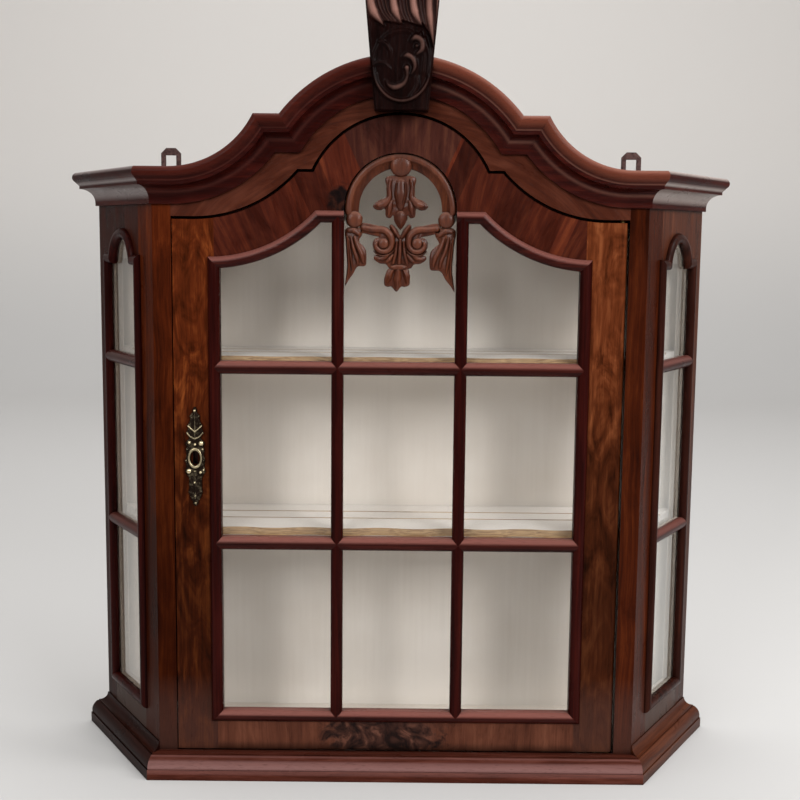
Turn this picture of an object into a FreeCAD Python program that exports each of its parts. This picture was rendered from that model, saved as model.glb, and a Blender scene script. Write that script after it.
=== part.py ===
# Hanging display cabinet: canted glazed sides, one glazed door and a bonnet pediment.
import FreeCAD
import Part
import Sketcher
import math
import os
from FreeCAD import Placement, Rotation, Vector

# Driving sizes in millimetres. Levels are heights above the underside of the base.
sizes = {
    # carcass
    "body_depth": 126,
    "side_splay": 75.5,
    "post_width": 16.5,
    "wall_thickness": 14,
    "post_depth": 20,
    "back_thickness": 6,
    "roof_thickness": 4,
    "roof_drop": 5,
    "board_setback": 2,
    # base moulding
    "base_height": 23,
    "base_projection": 16,
    "base_ledge": 9,
    "base_fillet": 9.5,
    "base_cove": 8,
    "base_quirk": 1,
    # cornice and the bonnet line that it follows
    "cornice_level": 521,
    "cornice_height": 31.5,
    "cornice_projection": 22,
    "arch_level": 515.5,
    "arch_radius": 101,
    "step_level": 566,
    "step_width": 21.75,
    # keystone
    "key_foot_width": 46,
    "key_head_width": 62,
    "key_head_level": 690,
    "key_projection": 25,
    "crest_level": 706,
    "crest_rise": 8,
    "crest_lobe_width": 22,
    "boss_relief": 6,
    "boss_width": 50,
    "boss_height": 62,
    "boss_level": 637,
    # door
    "door_width": 400,
    "door_thickness": 15,
    "door_side_gap": 1,
    "door_top_gap": 2.6,
    "lip_reach": 5,
    "lip_gap": 1.8,
    "door_foot_gap": 1.5,
    "door_flat_level": 508,
    "door_step_level": 549.5,
    "door_step_width": 13.15,
    "door_arch_radius": 83.2,
    "door_ear": 19,
    "stile_width": 36.5,
    # glazing of the door
    "sight_foot": 61.5,
    "bead_width": 10.5,
    "bead_rise": 4,
    "bead_tongue": 5,
    "bead_sweep_radius": 130,
    "bead_corner_level": 475.5,
    "bead_flat_level": 516.5,
    "muntin_centre": 54.7,
    "muntin_width": 10.7,
    "bar_width": 11.6,
    "bar_upper_level": 378,
    "bar_lower_level": 218.5,
    "rib_width": 3,
    "rib_depth": 5,
    "glass_seat": 8,
    "glass_thickness": 2,
    "glass_gap": 0.2,
    "tongue_gap": 0.1,
    "putty_width": 3,
    "putty_depth": 2.5,
    # carved ring and pendant in the top middle pane
    "ring_level": 517.5,
    "ring_width": 13,
    "ring_gap": 0.3,
    "ring_front": 1,
    "volute_radius": 7.5,
    # side lights
    "side_sight_width": 76,
    "light_shift": 5,
    "side_sight_foot": 61.5,
    "side_shoulder_level": 466.5,
    "side_arch_radius": 24,
    "side_bead_width": 9.5,
    "side_bead_rise": 5,
    "side_bead_tongue": 5,
    "side_glass_seat": 2,
    # shelves
    "shelf_thickness": 7,
    "shelf_upper_level": 386.5,
    "shelf_lower_level": 229,
    "shelf_setback": 19,
    "shelf_wave_length": 65,
    "shelf_wave_depth": 2,
    "shelf_end_gap": 0.3,
    "groove_pitch": 29,
    "groove_width": 3,
    "groove_depth": 1.5,
    "cleat_length": 16,
    "cleat_size": 8,
    # hangers on the back
    "hanger_spread": 444,
    "hanger_width": 19,
    "hanger_thickness": 2.5,
    "hanger_foot_level": 497,
    "hanger_head_level": 577,
    "hanger_chamfer": 5,
    "eye_width": 10,
    "eye_height": 15,
    "eye_rim": 7,
    "screw_shank": 3,
    "screw_head": 7,
    "screw_pitch": 22,
    "screw_margin": 11,
    "screw_bite": 2.5,
    # pivots of the door
    "pivot_inset": 5,
    "pin_diameter": 4,
    "pin_clearance": 0.05,
    "pin_reach": 5,
    "pin_sink": 6,
    "pivot_plate_length": 16,
    "pivot_plate_width": 8,
    "pivot_plate_thickness": 2,
    "pivot_plate_end": 2.5,
    "pivot_collar": 7,
    "pivot_float": 0.3,
    # lock, keep and escutcheon
    "key_level": 296.3,
    "key_inset": 18.5,
    "keyhole_width": 5,
    "keyhole_height": 12,
    "keyway_depth": 8,
    "lock_width": 29.5,
    "lock_height": 50,
    "lock_thickness": 9,
    "lock_depth": 3,
    "lock_recess": 0.25,
    "bolt_length": 13,
    "bolt_height": 10,
    "bolt_thickness": 5,
    "bolt_gap": 0.3,
    "bolt_recess": 0.5,
    "bolt_reach": 7.5,
    "keep_height": 34,
    "keep_width": 10,
    "keep_thickness": 1.5,
    "plate_height": 89,
    "plate_width": 19,
    "plate_thickness": 1.5,
    # stop strip behind the lock stile
    "stop_width": 5,
    "stop_gap": 0.4,
    "stop_margin": 40,
}

# Places worked out from the driving sizes.
places = {
    # carcass
    "door_half": "dim.door_width / 2",
    "opening_half": "door_half + dim.door_side_gap",
    "front_half": "opening_half + dim.post_width",
    "rear_half": "front_half + dim.side_splay",
    "side_length": "sqrt(dim.side_splay ^ 2 + dim.body_depth ^ 2)",
    "side_half": "side_length / 2",
    "cant_sin": "dim.side_splay / side_length",
    "cant_cos": "dim.body_depth / side_length",
    "cant_tan": "dim.side_splay / dim.body_depth",
    "mitre_ratio": "(1 - cant_sin) / cant_cos",
    "front_reach": "dim.key_projection + dim.boss_relief",
    "front_plane": "(front_reach - dim.body_depth) / 2",
    "side_mid_x": "(front_half + rear_half) / 2",
    "side_mid_y": "front_plane + dim.body_depth / 2",
    "light_x": "side_mid_x + dim.light_shift * cant_sin",
    "light_y": "side_mid_y + dim.light_shift * cant_cos",
    "inner_front": "front_half - dim.wall_thickness / cant_cos",
    "inner_rear": "rear_half - dim.wall_thickness / cant_cos",
    "back_face": "dim.body_depth - dim.back_thickness",
    "wall_top": "dim.cornice_level + dim.cornice_height - dim.board_setback",
    "wall_height": "wall_top - dim.base_height",
    # base moulding
    "base_ovolo": "sqrt((dim.base_projection - dim.base_ledge - 2 * dim.base_quirk) ^ 2"
                  " + (dim.base_height - dim.base_fillet - dim.base_quirk) ^ 2)",
    # cornice section
    "fillet_out": "dim.cornice_projection * 0.136",
    "fillet_up": "dim.cornice_height * 0.089",
    "cove_out": "dim.cornice_projection * 0.66",
    "cove_up": "dim.cornice_height * 0.51",
    "cove_radius": "sqrt((cove_out - fillet_out) ^ 2 + (cove_up - fillet_up) ^ 2) * 0.74",
    "corona_out": "dim.cornice_projection * 0.73",
    "corona_up": "dim.cornice_height * 0.6",
    "nose_out": "dim.cornice_projection * 0.905",
    "nose_up": "dim.cornice_height * 0.73",
    "nose_end": "dim.cornice_projection * 0.877",
    "nose_radius": "(dim.cornice_height - nose_up) * 0.59",
    # door frame
    "door_foot": "dim.base_height + dim.door_foot_gap",
    "stile_edge": "door_half - dim.stile_width",
    "sight_half": "stile_edge - dim.bead_tongue",
    "rail_top": "dim.sight_foot - dim.bead_tongue",
    "bead_outer": "sight_half + dim.bead_width",
    "bead_foot": "dim.sight_foot - dim.bead_width",
    "bead_axis": "dim.bead_corner_level + dim.bead_sweep_radius",
    "bead_knee": "bead_outer - sqrt(dim.bead_sweep_radius ^ 2 - (bead_axis - dim.bead_flat_level) ^ 2)",
    "sight_sweep": "dim.bead_sweep_radius + dim.bead_width",
    "sight_flat": "dim.bead_flat_level - dim.bead_width",
    "sight_corner": "bead_axis - sqrt(sight_sweep ^ 2 - dim.bead_width ^ 2)",
    "sight_knee": "bead_outer - sqrt(sight_sweep ^ 2 - (bead_axis - sight_flat) ^ 2)",
    "frame_sweep": "sight_sweep - dim.bead_tongue",
    "frame_flat": "sight_flat + dim.bead_tongue",
    "frame_knee": "bead_outer - sqrt(frame_sweep ^ 2 - (bead_axis - frame_flat) ^ 2)",
    "frame_corner": "bead_axis - sqrt(frame_sweep ^ 2 - (bead_outer - stile_edge) ^ 2)",
    "muntin_inner": "dim.muntin_centre - dim.muntin_width / 2",
    "bead_nose": "(dim.bead_width ^ 2 / 4 + dim.bead_rise ^ 2) / (2 * dim.bead_rise)",
    "muntin_nose": "(dim.muntin_width ^ 2 / 4 + dim.bead_rise ^ 2) / (2 * dim.bead_rise)",
    "bar_nose": "(dim.bar_width ^ 2 / 4 + dim.bead_rise ^ 2) / (2 * dim.bead_rise)",
    "glass_back": "dim.glass_seat + dim.glass_thickness",
    "rib_back": "dim.glass_seat + dim.rib_depth",
    "ring_radius": "muntin_inner - dim.ring_gap",
    "ring_inner": "ring_radius - dim.ring_width",
    "ring_depth": "dim.glass_seat - dim.ring_front",
    # side lights
    "side_sight": "dim.side_sight_width / 2",
    "side_open": "side_sight + dim.side_bead_tongue",
    "side_rail_top": "dim.side_sight_foot - dim.side_bead_tongue",
    "side_rail_foot": "dim.side_shoulder_level + dim.side_bead_tongue",
    "side_rail_arch": "dim.side_arch_radius + dim.side_bead_tongue",
    "side_rail_knee": "sqrt(side_rail_arch ^ 2 - dim.side_bead_tongue ^ 2)",
    "side_bead_nose": "(dim.side_bead_width ^ 2 / 4 + dim.side_bead_rise ^ 2) / (2 * dim.side_bead_rise)",
    "side_bar_nose": "(dim.bar_width ^ 2 / 4 + dim.side_bead_rise ^ 2) / (2 * dim.side_bead_rise)",
    "side_glass_back": "dim.side_glass_seat + dim.glass_thickness",
    "side_rib_back": "dim.side_glass_seat + dim.rib_depth",
    "post_face": "side_half + dim.light_shift - side_open",
    "stile_end": "side_half - dim.light_shift",
    # keystone
    "key_foot": "dim.arch_level + dim.door_arch_radius + dim.door_top_gap",
    "crest_sag": "dim.crest_level - dim.key_head_level - dim.crest_rise",
    "crest_radius": "(dim.crest_lobe_width ^ 2 / 4 + crest_sag ^ 2) / (2 * crest_sag)",
    # shelves
    "shelf_wave_radius": "(dim.shelf_wave_length ^ 2 / 16 + dim.shelf_wave_depth ^ 2)"
                         " / (2 * dim.shelf_wave_depth)",
    "shelf_shoulder": "dim.post_depth + 1.5",
    "shelf_rear": "back_face - dim.shelf_end_gap",
    "shelf_inner": "inner_front - dim.shelf_end_gap / cant_cos",
    "cleat_front": "(dim.post_depth - dim.body_depth / 2 - dim.wall_thickness * cant_sin) / cant_cos",
    "cleat_rear": "(back_face - dim.body_depth / 2 - (dim.wall_thickness + dim.cleat_size) * cant_sin)"
                  " / cant_cos",
    # hangers, pivots and lock
    "hanger_half": "dim.hanger_spread / 2",
    "hanger_front": "dim.body_depth - dim.hanger_thickness",
    "eye_head": "dim.hanger_head_level - dim.eye_rim",
    "pivot_x": "door_half - dim.pivot_inset",
    "plate_right": "pivot_x + dim.pivot_plate_end",
    "plate_left": "plate_right - dim.pivot_plate_length",
    "plate_front": "dim.pivot_inset - dim.pivot_plate_width / 2",
    "plate_back": "dim.pivot_inset + dim.pivot_plate_width / 2",
    "key_x": "dim.key_inset - door_half",
    "lock_left": "dim.lock_recess - door_half",
    "lock_middle": "dim.lock_depth + dim.lock_thickness / 2",
    "bolt_tip": "dim.bolt_recess - door_half",
}


# A bonnet line: flat ends, a sweep that is level where it leaves them, a step and an arch
def line_places(name, flat, step, width, arch, reach):
    rise = f"({name}_step - {name}_flat)"
    return {
        f"{name}_flat": flat,
        f"{name}_step": step,
        f"{name}_arch": arch,
        f"{name}_reach": reach,
        f"{name}_crown": f"dim.arch_level + {name}_arch",
        f"{name}_inner": f"sqrt({name}_arch ^ 2 - ({name}_step - dim.arch_level) ^ 2)",
        f"{name}_outer": f"{name}_inner + {width}",
        f"{name}_sweep": f"(({name}_reach - {name}_outer) ^ 2 + {rise} ^ 2) / (2 * {rise})",
        f"{name}_axis": f"{name}_flat + {name}_sweep",
    }


# The same line, a given rise above it
def raised_places(name, base, rise):
    return {
        f"{name}_flat": f"{base}_flat + {rise}",
        f"{name}_step": f"{base}_step + {rise}",
        f"{name}_arch": f"{base}_arch + {rise}",
        f"{name}_reach": f"{base}_reach",
        f"{name}_crown": f"dim.arch_level + {name}_arch",
        f"{name}_inner": f"sqrt({name}_arch ^ 2 - ({name}_step - dim.arch_level) ^ 2)",
        f"{name}_sweep": f"{base}_sweep - ({rise})",
        f"{name}_axis": f"{base}_axis",
        f"{name}_outer": f"{name}_reach - sqrt({name}_sweep ^ 2 - ({name}_axis - {name}_step) ^ 2)",
    }


# Edges of glass or putty, a given gap inside the frames and the ribs
def pane_places(name, gap):
    return {
        f"{name}_edge": f"stile_edge - ({gap})",
        f"{name}_foot": f"rail_top + {gap}",
        f"{name}_sweep": f"frame_sweep + {gap}",
        f"{name}_flat": f"frame_flat - ({gap})",
        f"{name}_corner": f"bead_axis - sqrt({name}_sweep ^ 2 - (bead_outer - {name}_edge) ^ 2)",
        f"{name}_knee": f"bead_outer - sqrt({name}_sweep ^ 2 - (bead_axis - {name}_flat) ^ 2)",
        f"{name}_arch": f"muntin_inner - ({gap})",
        f"{name}_rib": f"dim.rib_width / 2 + {gap}",
        f"{name}_side_edge": f"side_open - ({gap})",
        f"{name}_side_foot": f"side_rail_top + {gap}",
        f"{name}_side_head": f"side_rail_foot - ({gap})",
        f"{name}_side_arch": f"side_rail_arch - ({gap})",
        f"{name}_side_knee": f"sqrt({name}_side_arch ^ 2"
                             f" - ({name}_side_head - dim.side_shoulder_level) ^ 2)",
    }


places.update(line_places("foot", "dim.cornice_level", "dim.step_level", "dim.step_width",
                          "dim.arch_radius", "door_half"))
places.update(raised_places("crown", "foot", "dim.cornice_height"))
places.update(raised_places("board", "foot", "dim.cornice_height - dim.board_setback"))
places.update(raised_places("roof", "foot", "dim.cornice_height - dim.roof_drop"))
places.update(raised_places("ceiling", "foot",
                            "dim.cornice_height - dim.roof_drop - dim.roof_thickness"))
places.update(line_places("door", "dim.door_flat_level", "dim.door_step_level", "dim.door_step_width",
                          "dim.door_arch_radius", "door_half - dim.door_ear"))
places.update(raised_places("gap", "door", "dim.door_top_gap"))
places.update(raised_places("lip", "door", "-dim.lip_reach"))
places["stile_top"] = "door_axis - sqrt(door_sweep ^ 2 - (door_reach - stile_edge) ^ 2)"
places.update(pane_places("pane", "dim.glass_gap"))
places.update(pane_places("putty", "dim.glass_gap + dim.putty_width"))

doc = FreeCAD.newDocument("DisplayCabinet")
parts = []


def fill_sheet(name, cells, lead):
    sheet = doc.addObject("Spreadsheet::Sheet", name)
    for row, (alias, content) in enumerate(cells.items(), 1):
        sheet.set(f"A{row}", alias)
        sheet.set(f"B{row}", f"{lead}{content}")
        sheet.setAlias(f"B{row}", alias)
    doc.recompute()
    return sheet


dim = fill_sheet("dim", sizes, "")
pos = fill_sheet("pos", places, "=")


def value(text):
    return float(dim.evalExpression(text))


# An outline is a list of corners (across, up), each with the radius and the turn
# (1 left, -1 right) of the arc that leaves it where that edge is not straight.
def mirrored(outline):
    return [(f"-({x})", y) + ((arc[0], -arc[1]) if arc else ()) for x, y, *arc in outline]


def swapped(outline):
    return [(y, x) + ((arc[0], -arc[1]) if arc else ()) for x, y, *arc in outline]


def backward(line):
    arcs = [arc for _, _, *arc in reversed(line[:-1])] + [[]]
    ends = [(x, y) for x, y, *_ in reversed(line)]
    return [end + ((arc[0], -arc[1]) if arc else ()) for end, arc in zip(ends, arcs)]


def moved(outline, dx, dy):
    return [(f"{dx} + {x}", f"{dy} + {y}", *arc) for x, y, *arc in outline]


def rectangle(left, low, right, high):
    return [(left, low), (right, low), (right, high), (left, high)]


def disc(x, y, radius):
    return [
        (f"{x} + {radius}", y, radius, 1),
        (x, f"{y} + {radius}", radius, 1),
        (f"{x} - ({radius})", y, radius, 1),
        (x, f"{y} - ({radius})", radius, 1),
    ]


def edge_between(start, end, arc):
    if not arc:
        return Part.LineSegment(start, end), 1, 2
    radius = value(arc[0])
    chord = end - start
    left = Vector(-chord.y, chord.x, 0).normalize()
    height = math.sqrt(max(radius ** 2 - chord.Length ** 2 / 4, 0))
    centre = (start + end) * 0.5 + left * (height * arc[1])
    first, last = (start, end) if arc[1] > 0 else (end, start)
    angles = [math.atan2(point.y - centre.y, point.x - centre.x) for point in (first, last)]
    curve = Part.ArcOfCircle(Part.Circle(centre, Vector(0, 0, 1), radius), *angles)
    return (curve, 1, 2) if arc[1] > 0 else (curve, 2, 1)


def bind(sketch, kind, references, number, text):
    index = sketch.addConstraint(Sketcher.Constraint(kind, *references, number))
    sketch.setExpression(f"Constraints[{index}]", text)


def draw(sketch, outline):
    corners = [Vector(value(x), value(y), 0) for x, y, *_ in outline]
    drawn = []
    for i, corner in enumerate(corners):
        arc = outline[i][2:]
        curve, start, end = edge_between(corner, corners[(i + 1) % len(corners)], arc)
        index = sketch.addGeometry(curve, False)
        drawn.append((index, start, end))
        if arc:
            bind(sketch, "Radius", (index,), value(arc[0]), arc[0])
    for (one, _, end), (two, start, _) in zip(drawn, drawn[1:] + drawn[:1]):
        sketch.addConstraint(Sketcher.Constraint("Coincident", one, end, two, start))
    for (index, start, _), corner, (x, y, *_) in zip(drawn, corners, outline):
        bind(sketch, "DistanceX", (-1, 1, index, start), corner.x, x)
        bind(sketch, "DistanceY", (-1, 1, index, start), corner.y, y)


# A sketch parallel to an origin plane, at a place along the axis it leaves out
def sketch_on(body, plane, outlines, offset):
    sketch = body.newObject("Sketcher::SketchObject", f"{body.Name}_sketch")
    support = [f for f in body.Origin.OriginFeatures if f.Role == f"{plane}_Plane"][0]
    sketch.AttachmentSupport = [(support, "")]
    sketch.MapMode = "FlatFace"
    sign = "-" if plane == "XZ" else ""
    sketch.setExpression("AttachmentOffset.Base.z", f"{sign}({offset})")
    for outline in outlines:
        draw(sketch, outline)
    return sketch


def pad(body, plane, outlines, start, length):
    feature = body.newObject("PartDesign::Pad", f"{body.Name}_pad")
    feature.Profile = sketch_on(body, plane, outlines, start)
    feature.Reversed = plane == "XZ"
    feature.setExpression("Length", length)


def pocket(body, plane, outlines, start="0", length=None):
    feature = body.newObject("PartDesign::Pocket", f"{body.Name}_pocket")
    feature.Profile = sketch_on(body, plane, outlines, start)
    if length is None:
        feature.Type = "ThroughAll"
        feature.SideType = "Symmetric"
    else:
        feature.Reversed = plane != "XZ"
        feature.setExpression("Length", length)


# A section standing at a place along X, turned about a line along Y at a level
def turn(body, section, offset, level, angle, back=False, kind="Revolution"):
    sketch = sketch_on(body, "YZ", [section], offset)
    start = Vector(0, value(level), 0)
    axis = sketch.addGeometry(Part.LineSegment(start, start + Vector(1, 0, 0)), True)
    sketch.addConstraint(Sketcher.Constraint("Horizontal", axis))
    bind(sketch, "DistanceX", (-1, 1, axis, 1), 0, "0")
    bind(sketch, "DistanceY", (-1, 1, axis, 1), start.y, level)
    sketch.addConstraint(Sketcher.Constraint("Distance", axis, 1))
    feature = body.newObject(f"PartDesign::{kind}", f"{body.Name}_turn")
    feature.Profile = sketch
    feature.ReferenceAxis = (sketch, ["Axis0"])
    feature.Angle = angle
    feature.Reversed = back


def named(thing, label):
    thing.Label = label
    parts.append(thing)
    return thing


# A body on the front plane, or on the outer face of a canted side (1 right, -1 left).
# On a side, X runs along the wall from its middle, or from the middle of its light, and Y points
# into the cabinet.
def new_body(name, side=0, middle=("side_mid_x", "side_mid_y")):
    body = doc.addObject("PartDesign::Body", name)
    if side:
        body.Placement = Placement(Vector(0, 0, 0), Rotation(Vector(0, 0, 1), 60 * side))
        body.setExpression("Placement.Rotation.Angle", f"{side} * (90 deg - atan(pos.cant_tan))")
        body.setExpression("Placement.Base.x", f"{side} * pos.{middle[0]}")
        body.setExpression("Placement.Base.y", f"pos.{middle[1]}")
    else:
        body.setExpression("Placement.Base.y", "pos.front_plane")
    return body


def node(label, side=0):
    return named(new_body(label, side), label)


def prism(label, plane, outlines, start, length, side=0):
    body = node(label, side)
    pad(body, plane, outlines, start, length)
    return body


def combined(kind, name, base, tool):
    result = doc.addObject(f"Part::{kind}", name)
    result.Base = base
    result.Tool = tool
    return result


def cut_by(name, base, tools):
    for tool in tools:
        base = combined("Cut", name, base, tool)
    return base


def group(label, members):
    result = doc.addObject("Part::Compound", label)
    result.Links = members
    return named(result, label)


# The ground on one side of a mitre line through two points
def beyond(low, high, reach, spread=2):
    (ax, ay), (bx, by) = low, high
    near = (f"{spread + 1} * ({ax}) - {spread} * ({bx})", f"{spread + 1} * ({ay}) - {spread} * ({by})")
    far = (f"{spread + 1} * ({bx}) - {spread} * ({ax})", f"{spread + 1} * ({by}) - {spread} * ({ay})")
    return [near, far, (f"{far[0]} + {reach}", far[1]), (f"{near[0]} + {reach}", near[1])]


sides = {"left": -1, "right": 1}


def on(side, outline):
    return outline if side > 0 else mirrored(outline)


# Base board and base moulding, whose sides carry a cove above the ledge
def base_section(cove):
    rim = [
        ("0", "0"),
        ("-dim.base_projection", "0"),
        ("-dim.base_projection", "dim.base_fillet"),
        ("dim.base_quirk - dim.base_projection", "dim.base_fillet", "pos.base_ovolo", -1),
        ("-dim.base_ledge - dim.base_quirk", "dim.base_height - dim.base_quirk"),
        ("-dim.base_ledge", "dim.base_height - dim.base_quirk"),
    ]
    if not cove:
        return rim + [("-dim.base_ledge", "dim.base_height"), ("0", "dim.base_height")]
    return rim + [
        ("-dim.base_ledge", "dim.base_height", "dim.base_cove", 1),
        ("dim.base_cove - dim.base_ledge", "dim.base_height + dim.base_cove"),
        ("0", "dim.base_height + dim.base_cove"),
    ]


def front_mitre(projection, sign):
    corner = (f"{sign} * pos.front_half", "0")
    nose = (f"{sign} * (pos.front_half + {projection} * pos.mitre_ratio)", f"-{projection}")
    return beyond(corner, nose, f"{sign} * 4 * {projection}")


def side_moulding(label, section, projection, side):
    body = node(label, side)
    run = f"(pos.side_half + 2 * {projection})"
    pad(body, "YZ", [section], f"-{run}", f"2 * {run}")
    for end, ratio in ((-side, "pos.mitre_ratio"), (side, "pos.cant_tan")):
        corner = (f"{end} * pos.side_half", "0")
        nose = (f"{end} * (pos.side_half + {projection} * {ratio})", f"-{projection}")
        pocket(body, "XY", [beyond(corner, nose, f"{end} * 4 * {projection}")])


plan = [("-pos.front_half", "0"), ("pos.front_half", "0"),
        ("pos.rear_half", "dim.body_depth"), ("-pos.rear_half", "dim.body_depth")]
base_board = prism("base_board", "XY", [plan], "0", "dim.base_height")
base_front = node("base_moulding_front")
base_run = "(pos.front_half + 2 * dim.base_projection)"
pad(base_front, "YZ", [base_section(False)], f"-{base_run}", f"2 * {base_run}")
for sign in sides.values():
    pocket(base_front, "XY", [front_mitre("dim.base_projection", sign)])
for hand, side in sides.items():
    side_moulding(f"base_moulding_{hand}", base_section(True), "dim.base_projection", side)

# Corner posts in plan: door reveal, front face, canted face and inner face
post = [
    ("pos.opening_half", "0"),
    ("pos.front_half", "0"),
    ("pos.front_half + pos.post_face * pos.cant_sin", "pos.post_face * pos.cant_cos"),
    ("pos.front_half + pos.post_face * pos.cant_sin - dim.wall_thickness * pos.cant_cos",
     "pos.post_face * pos.cant_cos + dim.wall_thickness * pos.cant_sin"),
    ("pos.inner_front + dim.post_depth * pos.cant_tan", "dim.post_depth"),
    ("pos.opening_half", "dim.post_depth"),
]
posts = {}
for hand, side in sides.items():
    posts[hand] = prism(f"corner_post_{hand}", "XY", [on(side, post)], "dim.base_height",
                        "pos.wall_height")

def light_body(name, side):
    return new_body(name, side, ("light_x", "light_y"))


# Frames of the side lights
rear_stile = [("pos.side_open", "0"), ("pos.stile_end", "0"),
              ("pos.stile_end - dim.wall_thickness * pos.cant_tan", "dim.wall_thickness"),
              ("pos.side_open", "dim.wall_thickness")]
bottom_rail = rectangle("-pos.side_open", "dim.base_height", "pos.side_open", "pos.side_rail_top")
top_rail = [
    ("-pos.side_open", "pos.wall_top"),
    ("-pos.side_open", "pos.side_rail_foot"),
    ("-pos.side_rail_knee", "pos.side_rail_foot", "pos.side_rail_arch", -1),
    ("0", "dim.side_shoulder_level + pos.side_rail_arch", "pos.side_rail_arch", -1),
    ("pos.side_rail_knee", "pos.side_rail_foot"),
    ("pos.side_open", "pos.side_rail_foot"),
    ("pos.side_open", "pos.wall_top"),
]
for hand, side in sides.items():
    upright = named(light_body(f"side_rear_stile_{hand}", side), f"side_rear_stile_{hand}")
    pad(upright, "XY", [on(side, rear_stile)], "dim.base_height", "pos.wall_height")
    for end, outline in (("bottom", bottom_rail), ("top", top_rail)):
        rail = named(light_body(f"side_{end}_rail_{hand}", side), f"side_{end}_rail_{hand}")
        pad(rail, "XZ", [outline], "0", "dim.wall_thickness")


# Round-nosed bead with a tongue, from the sight line outward in the given direction
def bead_section(sight, direction, kind=""):
    def out(distance):
        return f"{sight} + {direction} * ({distance})"

    width = f"dim.{kind}bead_width"
    rise = f"-dim.{kind}bead_rise"
    tongue = f"dim.{kind}bead_tongue - dim.tongue_gap"
    nose = f"pos.{kind}bead_nose"
    seat = f"dim.{kind}glass_seat"
    return [
        (seat, out("0")),
        ("0", out("0"), nose, -direction),
        (rise, out(f"{width} / 2"), nose, -direction),
        ("0", out(width)),
        ("0", out(tongue)),
        (seat, out(tongue)),
    ]


# Round-nosed glazing bar with a rib between two panes
def bar_section(centre, width, nose, kind=""):
    left, right = f"{centre} - {width} / 2", f"{centre} + {width} / 2"
    rib_left, rib_right = f"{centre} - dim.rib_width / 2", f"{centre} + dim.rib_width / 2"
    seat, rib_back = f"dim.{kind}glass_seat", f"pos.{kind}rib_back"
    return [
        (seat, left),
        ("0", left, nose, -1),
        (f"-dim.{kind}bead_rise", centre, nose, -1),
        ("0", right),
        (seat, right),
        (seat, rib_right),
        (rib_back, rib_right),
        (rib_back, rib_left),
        (seat, rib_left),
    ]


# Outlines of the panes of one side light, from the foot up
def side_panes(name):
    edge = f"pos.{name}_side_edge"
    rib = f"pos.{name}_rib"
    low, high = "dim.bar_lower_level", "dim.bar_upper_level"
    head, knee, arch = f"pos.{name}_side_head", f"pos.{name}_side_knee", f"pos.{name}_side_arch"
    return [
        rectangle(f"-{edge}", f"pos.{name}_side_foot", edge, f"{low} - {rib}"),
        rectangle(f"-{edge}", f"{low} + {rib}", edge, f"{high} - {rib}"),
        [
            (f"-{edge}", head),
            (f"-{edge}", f"{high} + {rib}"),
            (edge, f"{high} + {rib}"),
            (edge, head),
            (knee, head, arch, 1),
            ("0", f"dim.side_shoulder_level + {arch}", arch, 1),
            (f"-{knee}", head),
        ],
    ]


side_path = [
    ("0", "dim.side_sight_foot"),
    ("pos.side_sight", "dim.side_sight_foot"),
    ("pos.side_sight", "dim.side_shoulder_level"),
    ("dim.side_arch_radius", "dim.side_shoulder_level", "dim.side_arch_radius", 1),
    ("0", "dim.side_shoulder_level + dim.side_arch_radius", "dim.side_arch_radius", 1),
    ("-dim.side_arch_radius", "dim.side_shoulder_level"),
    ("-pos.side_sight", "dim.side_shoulder_level"),
    ("-pos.side_sight", "dim.side_sight_foot"),
]
side_putty = []
for hand, side in sides.items():
    bead = named(light_body(f"side_bead_{hand}", side), f"side_bead_{hand}")
    section = sketch_on(bead, "YZ", [bead_section("dim.side_sight_foot", -1, "side_")], "0")
    path = sketch_on(bead, "XZ", [side_path], "0")
    pipe = bead.newObject("PartDesign::AdditivePipe", f"{bead.Name}_pipe")
    pipe.Profile = section
    pipe.Spine = (path, [f"Edge{i}" for i in range(1, len(side_path) + 1)])
    pipe.Transition = "Right corner"
    bars = []
    for level in ("dim.bar_lower_level", "dim.bar_upper_level"):
        blank = light_body(f"side_bar_blank_{hand}", side)
        bar = bar_section(level, "dim.bar_width", "pos.side_bar_nose", "side_")
        run = "(pos.side_sight + dim.side_bead_width / 2)"
        pad(blank, "YZ", [bar], f"-{run}", f"2 * {run}")
        bars.append(cut_by(f"side_bar_{hand}", blank, [bead]))
    group(f"side_bars_{hand}", bars)
    glass = []
    for outline, inner in zip(side_panes("pane"), side_panes("putty")):
        pane = light_body(f"side_pane_{hand}", side)
        pad(pane, "XZ", [outline], "dim.side_glass_seat", "dim.glass_thickness")
        glass.append(pane)
        putty = light_body(f"side_putty_ring_{hand}", side)
        pad(putty, "XZ", [outline, inner], "pos.side_glass_back", "dim.putty_depth")
        side_putty.append(putty)
    group(f"side_panes_{hand}", glass)
group("side_putty", side_putty)


# Right half of a bonnet line, from its outer end to the crown
def bonnet_half(name, end):
    return [
        (end, f"pos.{name}_flat"),
        (f"pos.{name}_reach", f"pos.{name}_flat", f"pos.{name}_sweep", -1),
        (f"pos.{name}_outer", f"pos.{name}_step"),
        (f"pos.{name}_inner", f"pos.{name}_step", f"pos.{name}_arch", 1),
        ("0", f"pos.{name}_crown"),
    ]


def both_halves(half):
    return half[:-1] + backward(mirrored(half))


# Pediment board between the posts, cut out for the door, with a lip behind the door's head
board = both_halves(bonnet_half("board", "pos.opening_half"))
board += backward(both_halves(bonnet_half("gap", "pos.opening_half")))
pediment_board = prism("pediment_board", "XZ", [board], "0", "dim.post_depth")
lip = both_halves(bonnet_half("gap", "pos.opening_half"))
lip += backward(both_halves(bonnet_half("lip", "pos.opening_half")))
pad(pediment_board, "XZ", [lip], "dim.door_thickness + dim.lip_gap",
    "dim.post_depth - dim.door_thickness - dim.lip_gap")


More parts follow.
